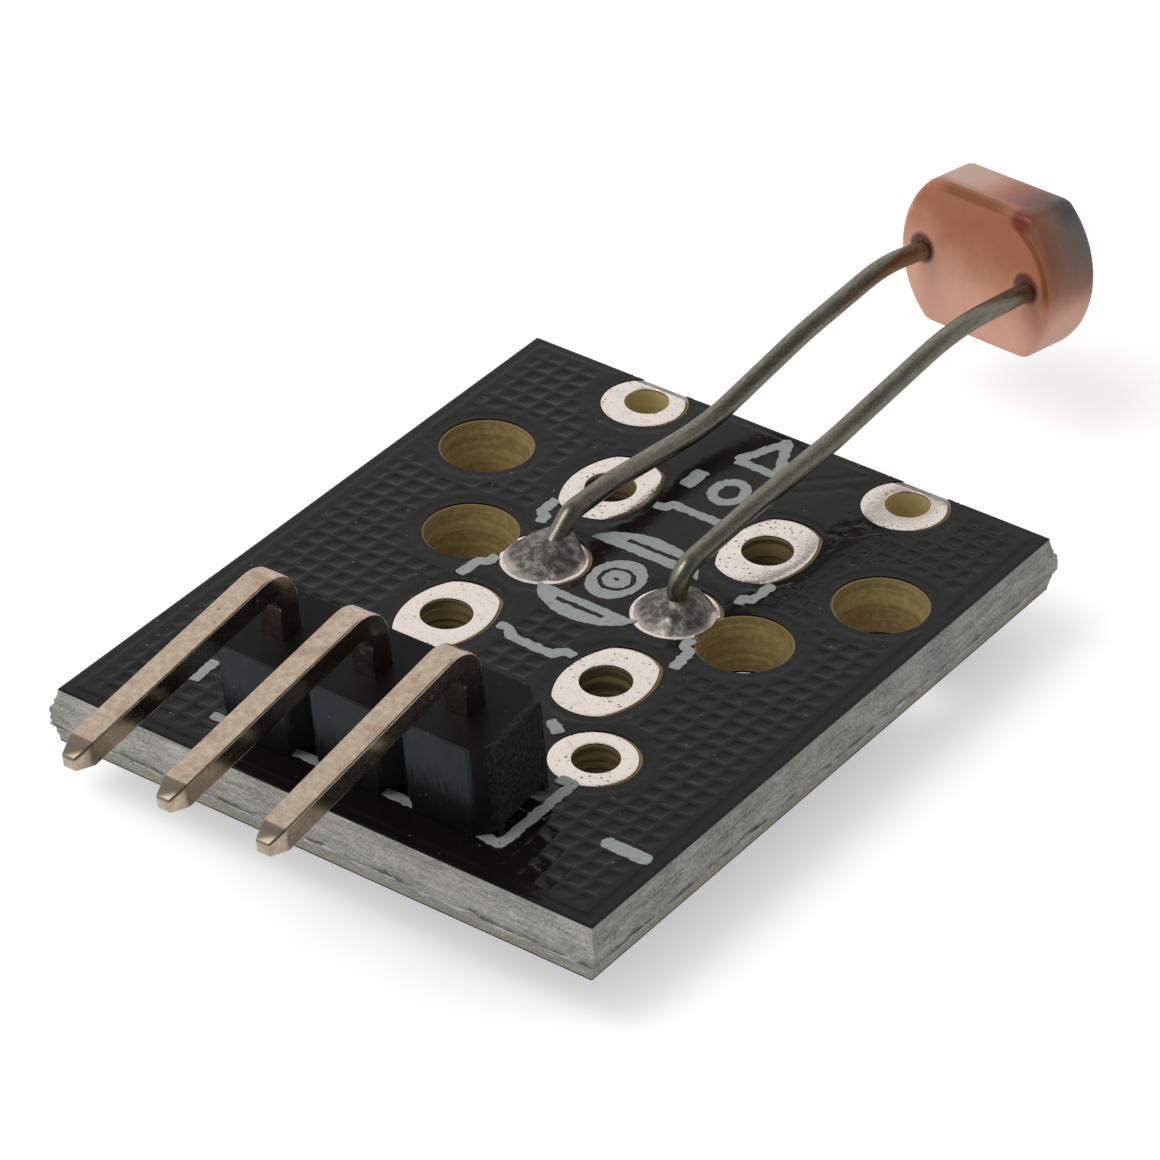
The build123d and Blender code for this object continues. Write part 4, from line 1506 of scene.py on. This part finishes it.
@dataclass
class Legend:
    """Printed marks on the board: plain strokes, bars, rings and chord shapes."""

    top: float = 1.5
    thickness: float = 0.012
    stroke: float = 0.28
    strokes: tuple = (
        ((-2.85, 3.66), (-2.85, 3.1), (-2.66, 2.93), (-2.6, 2.66)),
        ((-2.6, 0.93), (-2.6, 0.62), (-2.83, 0.5), (-2.85, -0.2)),
        ((3.33, 3.76), (3.3, 2.95), (3.06, 2.88), (3.12, 2.62)),
        ((3.06, 0.85), (3.09, 0.52), (3.32, 0.42), (3.36, -0.36)),
        ((-0.9, -1.3), (-0.62, -1.27), (-0.38, -1.53), (0.8, -1.53), (1.0, -1.25), (1.27, -1.3)),
        ((-0.85, 4.88), (-0.55, 4.92), (-0.5, 5.13), (0.95, 5.13), (1.0, 4.92), (1.3, 4.88)),
        ((3.72, -5.33), (4.14, -5.3), (4.14, -8.05), (3.82, -8.05)),
        ((-4.0, -8.0), (3.9, -8.0)),
        ((-5.25, -6.3), (-5.2, -7.2)),
        ((2.3, -3.62), (2.76, -3.95)),
        ((-0.35, 7.6), (0.22, 8.95), (0.85, 7.6), (-0.35, 7.6)),
    )
    block: tuple = ((-0.72, 5.95), (-0.72, 6.75))
    block_width: float = 0.4
    bar: tuple = ((6.54, -6.61), 1.34, 0.4)
    rings: tuple = (((0.3, 6.35), (0.24, 0.32), (0.5, 0.6)),
                    ((0.253, 1.794), (0.06, 0.06), (0.35, 0.36)),
                    ((0.253, 1.794), (0.46, 0.47), (0.68, 0.84)))
    chords: tuple = ((2.9, -1.265, 1.77, 3.735, 3.29), (0.676, -1.18, 1.62, -0.147, 0.35))
    slit_half: float = 0.07
    slit_end: float = 0.2
    stray: float = 0.035

    def build(self) -> None:
        """Make the marks as one piece."""
        parts = [self._stroke(points, self.stroke) for points in self.strokes]
        parts.append(self._stroke(self.block, self.block_width))
        parts.append(self._bar(*self.bar))
        parts += [self._ring(*ring) for ring in self.rings]
        for chord in self.chords:
            parts += self._segment(*chord)
        item = Bench.join(parts)
        Bench.finish(item, "legend_marks", InkFinish().material(), "solder_mask", (), 30.0)

    def _ribbon(self, left: Array, right: Array) -> bpy.types.Object:
        """A thin flat piece between two edges.

        Args:
            left: Points along one edge, by 2.
            right: As many points along the other.

        Returns:
            The closed piece.
        """
        high, low = self.top + self.thickness, self.top - 0.01
        left, right = self._ragged(left), self._ragged(right)
        rows = ((left, low), (left, high), ((left + right) / 2, high + 0.002), (right, high),
                (right, low), (left, low))
        return Bench.sheet("mark", np.array([at_level(edge, level) for edge, level in rows]))

    def _ragged(self, edge: Array) -> Array:
        """An edge whose points stray a little, as those of printed ink do."""
        strays = [relief(edge, 9.0, level) for level in (0.5, 20.5)]
        return edge + np.column_stack(strays) * self.stray

    def _stroke(self, points: Sequence[tuple], width: float) -> bpy.types.Object:
        """An inked line with a slightly uneven edge.

        Args:
            points: Its corners.
            width: Its width.

        Returns:
            The piece.
        """
        route = np.array(points, float)
        dense = []
        for start, end in zip(route, route[1:]):
            count = max(2, int(np.linalg.norm(end - start) / 0.045))
            dense += [start + (end - start) * step / count for step in range(count)]
        dense = np.array(dense + [route[-1]])
        run = np.gradient(dense, axis=0)
        run /= np.linalg.norm(run, axis=1)[:, None]
        across = np.column_stack([-run[:, 1], run[:, 0]])
        from_end = np.arange(len(dense))
        half = width / 2 * np.minimum(1.0, 0.72 + 0.28 * np.minimum(from_end, from_end[::-1]))
        left, right = (half + relief(dense, 5.0, seed) * self.stray for seed in (1.0, 9.0))
        return self._ribbon(dense + across * left[:, None], dense - across * right[:, None])

    def _bar(self, centre: Sequence[float], length: float, width: float) -> bpy.types.Object:
        """A short bar with round ends.

        Args:
            centre: Its middle.
            length: Its length.
            width: Its width.

        Returns:
            The piece.
        """
        along = np.linspace(-1, 1, 25)
        past = ((np.abs(along) * length - (length - width)) / width).clip(0, 1)
        half = width / 2 * np.maximum(np.sqrt(1 - past ** 2), 0.04)
        x = centre[0] + along * length / 2
        return self._ribbon(np.column_stack([x, centre[1] + half]),
                            np.column_stack([x, centre[1] - half]))

    def _ring(self, centre: Sequence[float], inner: tuple, outer: tuple) -> bpy.types.Object:
        """A ring between two ellipses, each given by its half width and half height."""
        return self._ribbon(*(np.array(centre) + circle(96) * reach for reach in (outer, inner)))

    def _segment(self, chord: float, left: float, right: float, apex: float, slit: float) -> list:
        """A chord with an arc over it and a slit between them.

        Args:
            chord: Level of the chord's outer edge.
            left: Where it starts.
            right: Where it ends.
            apex: Level of the arc's highest or lowest point.
            slit: Level of the slit.

        Returns:
            The pieces.
        """
        sign = 1 if apex > chord else -1
        share = np.linspace(-1, 1, 65)
        x = (left + right) / 2 + share * (right - left) / 2
        outer = chord + (apex - chord) * np.sqrt(np.clip(1 - share ** 2, 0, 1)) ** 1.3
        slitted = np.abs(share) < 0.5
        below = np.where(slitted, slit - sign * self.slit_half, chord + sign * (self.slit_end + 0.01))
        above = np.where(slitted, slit + sign * self.slit_half, chord + sign * (self.slit_end - 0.01))
        below = np.minimum(sign * below, sign * outer) * sign
        above = np.minimum(sign * above, sign * (outer - sign * 0.002)) * sign
        edges = ((below, np.full(len(x), chord)), (outer, above))
        return [self._ribbon(np.column_stack([x, far]), np.column_stack([x, near]))
                for far, near in edges]


# Header


@dataclass
class Header:
    """The three way pin header."""

    node: str = "header_housing"
    pins: tuple = ("header_pin_1", "header_pin_2", "header_pin_3")

    def build(self) -> None:
        """Make the housing and its pins from softened copies of the solids."""
        Bench.dress_node(self.node, "header_body", HousingFinish().material(), "header_plastic", 40.0,
                         (0.035, 25.0))
        plated = PinFinish().material()
        for pin in self.pins:
            Bench.dress_node(pin, pin + "_wire", plated, "header_pins", 40.0, (0.045,))


# Sensor


@dataclass
class Lead:
    """One bent lead: runs from its hole, heights over the board and bend radii, in millimetres."""

    side: str
    sign: int
    runs: tuple
    heights: tuple
    radii: tuple


LEADS = (
    Lead("left", -1, (0.0, 0.86, 2.41, 6.08, 9.9, 13.16), (0.02, 0.81, 0.87, 0.61, 1.37, 1.75),
         (0.35, 0.55, 4.0, 7.0, 14.0, 5.0)),
    Lead("right", 1, (0.0, 2.89, 6.18, 11.2), (1.08, 1.36, 1.54, 2.16), (0.62, 8.0, 8.0, 9.0)),
)


@dataclass
class Sensor:
    """The photoresistor: two leads, a resin coated ceramic disc with two flats, and its track."""

    layout: Layout
    centre: tuple = (0.86, 16.215, 3.03)
    nudge: tuple = (-0.085, 0.015, -0.025)
    yaw: float = 8.7
    pitch: float = -4.6
    roll: float = 4.5
    diameter: float = 5.0
    across: float = 3.85
    thickness: float = 1.6
    lead_pitch: float = 3.4
    lead_diameter: float = 0.5
    wall: float = 0.14
    back: float = 0.4
    shoulder: float = 0.15
    socket_swell: float = 0.1
    socket_reach: float = 0.36
    hollow: float = 0.035
    stub: float = 1.3
    board_top: float = 1.5
    entry_bend: float = 2.0

    @property
    def axis(self) -> Array:
        """Unit vector away from the leads.

        Returns:
            The vector.
        """
        yaw, pitch = math.radians(self.yaw), math.radians(self.pitch)
        level = np.array([math.sin(yaw), math.cos(yaw), 0.0])
        return level * math.cos(pitch) + np.array([0.0, 0.0, math.sin(pitch)])

    @property
    def row(self) -> Array:
        """Unit vector from the left lead to the right one.

        Returns:
            The vector.
        """
        yaw, roll = math.radians(self.yaw), math.radians(self.roll)
        level = np.array([math.cos(yaw), -math.sin(yaw), 0.0])
        return level * math.cos(roll) + np.cross(level, self.axis) * math.sin(roll)

    @property
    def rise(self) -> Array:
        """Unit vector across the flats, upwards."""
        return np.cross(self.row, self.axis)

    @property
    def half_across(self) -> float:
        """Half the distance between the flats."""
        return self.across / 2

    def build(self) -> None:
        """Make the leads, the resin and what is inside it."""
        wire = LeadFinish().material()
        for lead in LEADS:
            item = self._lead(lead)
            Bench.finish(item, f"sensor_lead_{lead.side}_wire", wire, "sensor_leads",
                         [f"sensor_lead_{lead.side}"], 60.0)
        Bench.finish(self._resin(), "sensor_resin_coat", ResinFinish().material(self), "sensor_resin",
                     ["sensor_resin"], 50.0)
        metal = ELECTRODE.material()
        inner = (("sensor_base", CERAMIC.material(), "sensor_ceramic", ()),
                 ("sensor_film", FILM.material(), "sensor_film", ()),
                 ("sensor_electrode_left", metal, "sensor_electrodes", (0.008, 30.0, 2)),
                 ("sensor_electrode_right", metal, "sensor_electrodes", (0.008, 30.0, 2)))
        for node, material, slot, rounding in inner:
            Bench.dress_node(node, node + "_piece", material, slot, 30.0, rounding, self.nudge)

    def _to_part(self, across: Array, upwards: Array, depth: Array) -> Array:
        """Points given on the sensor's own axes, in the part's frame."""
        return (np.array(self.centre) + np.multiply.outer(across, self.row)
                + np.multiply.outer(upwards, self.rise) + np.multiply.outer(depth, self.axis))

    @staticmethod
    def _rounded(points: Sequence[Array], radii: Sequence[float]) -> list:
        """Round the corners of a flat route.

        Args:
            points: Its corners, by 2.
            radii: One radius for each inner corner.

        Returns:
            Points along the route, close together on the arcs.
        """
        route = [points[0]]
        for before, corner, after, radius in zip(points, points[1:], points[2:], radii):
            back, ahead = before - corner, after - corner
            back, ahead = back / np.linalg.norm(back), ahead / np.linalg.norm(ahead)
            half = math.acos(float(np.clip(back.dot(ahead), -1, 1))) / 2
            reach = radius / math.tan(half)
            middle = corner + (back + ahead) / np.linalg.norm(back + ahead) * radius / math.sin(half)
            start, end = corner + back * reach - middle, corner + ahead * reach - middle
            turn = math.pi - 2 * half
            count = max(8, int(math.degrees(turn) / 3))
            for angle in np.linspace(0.0, turn, count + 1):
                spoke = start * math.sin(turn - angle) + end * math.sin(angle)
                route.append(middle + spoke / math.sin(turn))
        return route + [points[-1]]

    def _lead(self, lead: Lead) -> bpy.types.Object:
        """Make one lead along its route.

        Args:
            lead: Its bends.

        Returns:
            The wire.
        """
        pad = np.array(self.layout.sensor_pads[0 if lead.sign < 0 else 1])
        entry = self._to_part(np.array(lead.sign * self.lead_pitch / 2), np.array(0.0), np.array(0.0))
        ahead = entry[:2] - pad
        reach = float(np.linalg.norm(ahead))
        ahead = ahead / reach
        flat = [np.array((0.0, -self.stub))]
        flat += [np.array((run, self.board_top + height))
                 for run, height in zip(lead.runs, lead.heights)]
        deep = self.back + 0.2
        flat += [np.array((reach, entry[2])), np.array((reach + deep, entry[2] + deep * self.axis[2]))]
        radii = (*lead.radii, self.entry_bend)
        route = [np.array((*(pad + ahead * run), level)) for run, level in self._rounded(flat, radii)]
        curve = bpy.data.curves.new(f"lead_{lead.side}", "CURVE")
        curve.dimensions = "3D"
        curve.bevel_depth = self.lead_diameter / 2
        curve.bevel_resolution = 7
        curve.use_fill_caps = True
        spline = curve.splines.new("POLY")
        spline.points.add(len(route) - 1)
        for point, place in zip(spline.points, route):
            point.co = (*place, 1.0)
        item = bpy.data.objects.new(f"lead_{lead.side}", curve)
        bpy.context.scene.collection.objects.link(item)
        Bench.pick(item)
        bpy.ops.object.convert(target="MESH")
        item = bpy.context.active_object
        Bench.seal(item)
        return item

    def _outline(self, shrink: float) -> Array:
        """The disc with two flats on the sensor's own axes, brought in by shrink.

        Args:
            shrink: How far, in millimetres.

        Returns:
            Points round it, the last on the first.
        """
        spokes = circle(96)
        radius, flat = self.diameter / 2 - shrink, self.half_across - shrink
        reach = np.minimum(radius, flat / np.maximum(np.abs(spokes[:, 1]), 1e-6))
        return spokes * reach[:, None]

    def _resin(self) -> bpy.types.Object:
        """Make the resin: a closed cup, swollen round the leads and soft at its rims.

        Returns:
            The cup.
        """
        shoulder, front = self.shoulder, self.thickness
        rows = [(self._outline(shoulder) * share, 0.0) for share in np.linspace(0.0, 1.0, 22)]
        for bend in np.radians(np.linspace(10, 90, 6)):
            shrink, depth = shoulder * (1 - math.sin(bend)), shoulder * (1 - math.cos(bend))
            rows.append((self._outline(shrink), depth))
        rows += [(self._outline(0.0), depth) for depth in np.linspace(0.35, front - 0.12, 9)]
        rim = ((0.012, front - 0.05), (0.045, front - 0.012), (0.08, front),
               (self.wall - 0.02, front - 0.015), (self.wall, front - 0.05), (self.wall, self.back))
        rows += [(self._outline(shrink), depth) for shrink, depth in rim]
        rows.append((self._outline(self.wall) * 0.0, self.back))
        points = []
        for flat, depth in rows:
            depths = np.full(len(flat), depth)
            if depth == 0.0:
                for sign in (-1, 1):
                    near = np.hypot(flat[:, 0] - sign * self.lead_pitch / 2, flat[:, 1])
                    depths -= self.socket_swell * np.exp(-((near / self.socket_reach) ** 2))
                middle = np.hypot(flat[:, 0] / 1.3, flat[:, 1] / 1.1)
                depths += self.hollow * np.exp(-(middle ** 2))
            points.append(self._to_part(flat[:, 0], flat[:, 1], depths))
        return Bench.sheet("resin", np.array(points), close=False)


@dataclass
class Solder:
    """The joints of leads and pins, and the fillets of the chip resistor."""

    layout: Layout
    pad_top: float = 1.49
    pad_low: float = 0.01
    dome: float = 0.44
    tip: float = -0.95
    dome_leans: tuple = (0.44, 0.18)
    lumpiness: float = 0.035

    def build(self) -> None:
        """Make every joint."""
        material = SolderFinish().material()
        leads = zip(("left", "right"), self.layout.sensor_pads, self.dome_leans)
        joints = [(f"sensor_joint_{side}", place, (0.0, -0.1), 0.99, 0.4, lean, 0.31)
                  for side, place, lean in leads]
        joints += [(f"header_joint_{number}", place, (0.0, 0.0), 0.86, 0.58, None, 0.5)
                   for number, place in enumerate(self.layout.header_pads, start=1)]
        for node, *sizes in joints:
            Bench.finish(self._joint(*sizes), node + "_fillet", material, "solder", [node], 60.0)
        for node in ("resistor_solder_left", "resistor_solder_right"):
            Bench.dress_node(node, node + "_fillet", material, "solder", 40.0, (0.02,))

    def _joint(self, place: Sequence[float], shift: Sequence[float], radius: float, bore: float,
               lean: Optional[float], neck: float) -> bpy.types.Object:
        """Make one joint round its lead.

        Args:
            place: The hole's middle.
            shift: How far the foil's middle lies from it.
            radius: The joint's radius at the foil.
            bore: The hole's radius.
            lean: How far the dome above the board leans back, or none for a flat plug.
            neck: Radius where the cone below meets the wire.

        Returns:
            The joint, closed all round.
        """
        rows = []
        if lean is None:
            rows += [(0.0, 0.0, self.pad_top - 0.12), (bore, 0.0, self.pad_top - 0.12)]
        else:
            summit = self.dome + self.pad_top
            rows += [(0.0, lean, summit + 0.05), (0.24, lean, summit + 0.04)]
            for share in np.linspace(0.06, 1.0, 16):
                height = self.dome * (1 - share) ** 1.35 + 0.05 * math.sin(math.pi * share)
                out = 0.3 + (radius - 0.3) * share ** 0.8
                rows.append((out, shift[1] * share + lean * (1 - share), self.pad_top + height))
            rows += [(radius, shift[1], self.pad_top - 0.01), (bore, 0.0, self.pad_top - 0.01)]
        rows += [(bore, 0.0, self.pad_low), (radius, shift[1], self.pad_low)]
        for share in np.linspace(0.1, 1.0, 10):
            out = neck + (radius - neck) * (1 - share) ** 2.2
            rows.append((out, shift[1] * (1 - share), self.pad_low + (self.tip - self.pad_low) * share))
        rows.append((0.0, 0.0, self.tip))
        points = []
        for reach, back, level in rows:
            flat = np.array(place) + circle(72) * reach + np.array((0.0, back))
            lumps = np.zeros(len(flat))
            if 0.26 < reach < radius and level > self.pad_top:
                lumps = relief(flat, 3.2, level * 3.2) * self.lumpiness
                lumps[-1] = lumps[0]
            points.append(at_level(flat, level + lumps))
        return Bench.sheet("joint", np.array(points), close=False)


@dataclass
class ChipResistor:
    """The small resistor under the board."""

    def build(self) -> None:
        """Make its body, caps and foil pads from softened copies of the solids."""
        glaze, tin = RESISTOR_GLAZE.material(), RESISTOR_TIN.material()
        rows = [("resistor_body", glaze, "resistor_body")]
        rows += [(f"resistor_cap_{side}", tin, "resistor_caps") for side in ("left", "right")]
        rows += [(f"pad_resistor_{side}", tin, "tinned_pads") for side in ("left", "right")]
        for node, material, slot in rows:
            Bench.dress_node(node, node + "_piece", material, slot, 35.0, (0.018,))


# Studio


@dataclass
class Studio:
    """Floor, lamps, world and camera."""

    floor_level: float = -1.4
    floor_size: float = 900.0
    camera_place: tuple = (67.95, -93.9, 82.59)
    camera_azimuth: float = 35.696
    camera_height: float = 34.681
    camera_roll: float = 0.279
    focal_pixels: float = 6096.875
    image_pixels: float = 1160.0
    sensor_width: float = 36.0
    ambient: float = 0.62
    floor_glow: float = 0.44
    dim_side: tuple = (0.48, -0.668, 0.569)
    dim_share: float = 0.82
    lamps: tuple = (("lamp_key", (-60.0, -90.0, 190.0), 130.0, 0.37),
                    ("lamp_front", (-110.0, -150.0, 90.0), 130.0, 0.14))

    def build(self) -> None:
        """Set the scene up round the object."""
        self._floor()
        self._world()
        for lamp in self.lamps:
            self._lamp(*lamp)
        self._camera()
        bpy.context.scene.view_settings.view_transform = "Standard"

    def _floor(self) -> None:
        """A plain pale floor that shows white to the camera and keeps the object's shadow."""
        Bench.clear_selection()
        bpy.ops.mesh.primitive_plane_add(size=self.floor_size * MM,
                                         location=(0, 0, self.floor_level * MM))
        floor = bpy.context.active_object
        floor.name = "floor"
        graph = Graph.named("floor_pale")
        diffuse = graph.node("ShaderNodeBsdfDiffuse", None, {"Color": (0.86, 0.86, 0.86)})["BSDF"]
        path = graph.node("ShaderNodeLightPath")
        seen = path["Is Camera Ray"].higher(path["Is Transmission Ray"])
        glow = graph.node("ShaderNodeEmission", None, {"Strength": seen * self.floor_glow})["Emission"]
        graph.close("ShaderNodeOutputMaterial",
                    graph.node("ShaderNodeAddShader", None, {0: diffuse, 1: glow})["Shader"])
        floor.data.materials.append(graph.owner)

    def _world(self) -> None:
        """White to the camera; reflections find it white too, but dim where the camera stands."""
        world = bpy.data.worlds.new("studio_world")
        bpy.context.scene.world = world
        graph = Graph(world)
        path = graph.node("ShaderNodeLightPath")
        gleam = path["Is Glossy Ray"].higher(path["Is Transmission Ray"])
        values = {0: graph.node("ShaderNodeTexCoord")["Generated"], 1: self.dim_side}
        facing = graph.node("ShaderNodeVectorMath", {"operation": "DOT_PRODUCT"}, values)["Value"]
        room = 1.0 - facing.rise(-0.15, 0.3) * self.dim_share
        level = (gleam * (room - self.ambient) + self.ambient).higher(path["Is Camera Ray"])
        graph.close("ShaderNodeOutputWorld",
                    graph.node("ShaderNodeBackground", None, {"Strength": level})["Background"])

    def _lamp(self, name: str, place: Sequence[float], size: float, level: float) -> None:
        """Add a soft lamp that looks at the object.

        Args:
            name: Its name.
            place: Where it hangs, in millimetres.
            size: Its side, in millimetres.
            level: How bright a white face turned to it shows, before the rest of the light.
        """
        distance = math.dist(place, (0, 0, 0)) * MM
        light = bpy.data.lights.new(name, "AREA")
        light.shape = "SQUARE"
        light.size = size * MM
        light.energy = level * math.pi * math.pi * distance ** 2
        lamp = bpy.data.objects.new(name, light)
        lamp.location = Vector(place) * MM
        lamp.rotation_euler = (-Vector(place)).to_track_quat("-Z", "Y").to_euler()
        bpy.context.scene.collection.objects.link(lamp)

    def _camera(self) -> None:
        """Place the camera as the photograph was taken."""
        azimuth, height, roll = (math.radians(a) for a in
                                 (self.camera_azimuth, self.camera_height, self.camera_roll))
        back = Vector((math.sin(azimuth) * math.cos(height), -math.cos(azimuth) * math.cos(height),
                       math.sin(height)))
        right = (-back).cross(Vector((0, 0, 1))).normalized()
        up = right.cross(-back)
        turned_right = right * math.cos(roll) + up * math.sin(roll)
        turned_up = up * math.cos(roll) - right * math.sin(roll)
        turn = Matrix((turned_right, turned_up, back)).transposed().to_4x4()
        data = bpy.data.cameras.new("camera")
        data.sensor_width = self.sensor_width
        data.lens = self.focal_pixels / self.image_pixels * self.sensor_width
        data.clip_start = 1.0 * MM
        data.clip_end = 10.0
        camera = bpy.data.objects.new("camera", data)
        camera.matrix_world = Matrix.Translation(Vector(self.camera_place) * MM) @ turn
        bpy.context.scene.collection.objects.link(camera)
        bpy.context.scene.camera = camera


def main() -> None:
    """Build the object, then the studio."""
    logging.basicConfig(level=logging.INFO, format="%(name)s %(message)s")
    layout = Layout()
    for section in (Board(layout), TinnedPads(layout), Legend(), Header(), Sensor(layout),
                    Solder(layout), ChipResistor(), Studio()):
        LOG.info("building %s", type(section).__name__)
        section.build()
    Bench.clear_selection()


if __name__ == "__main__":
    main()
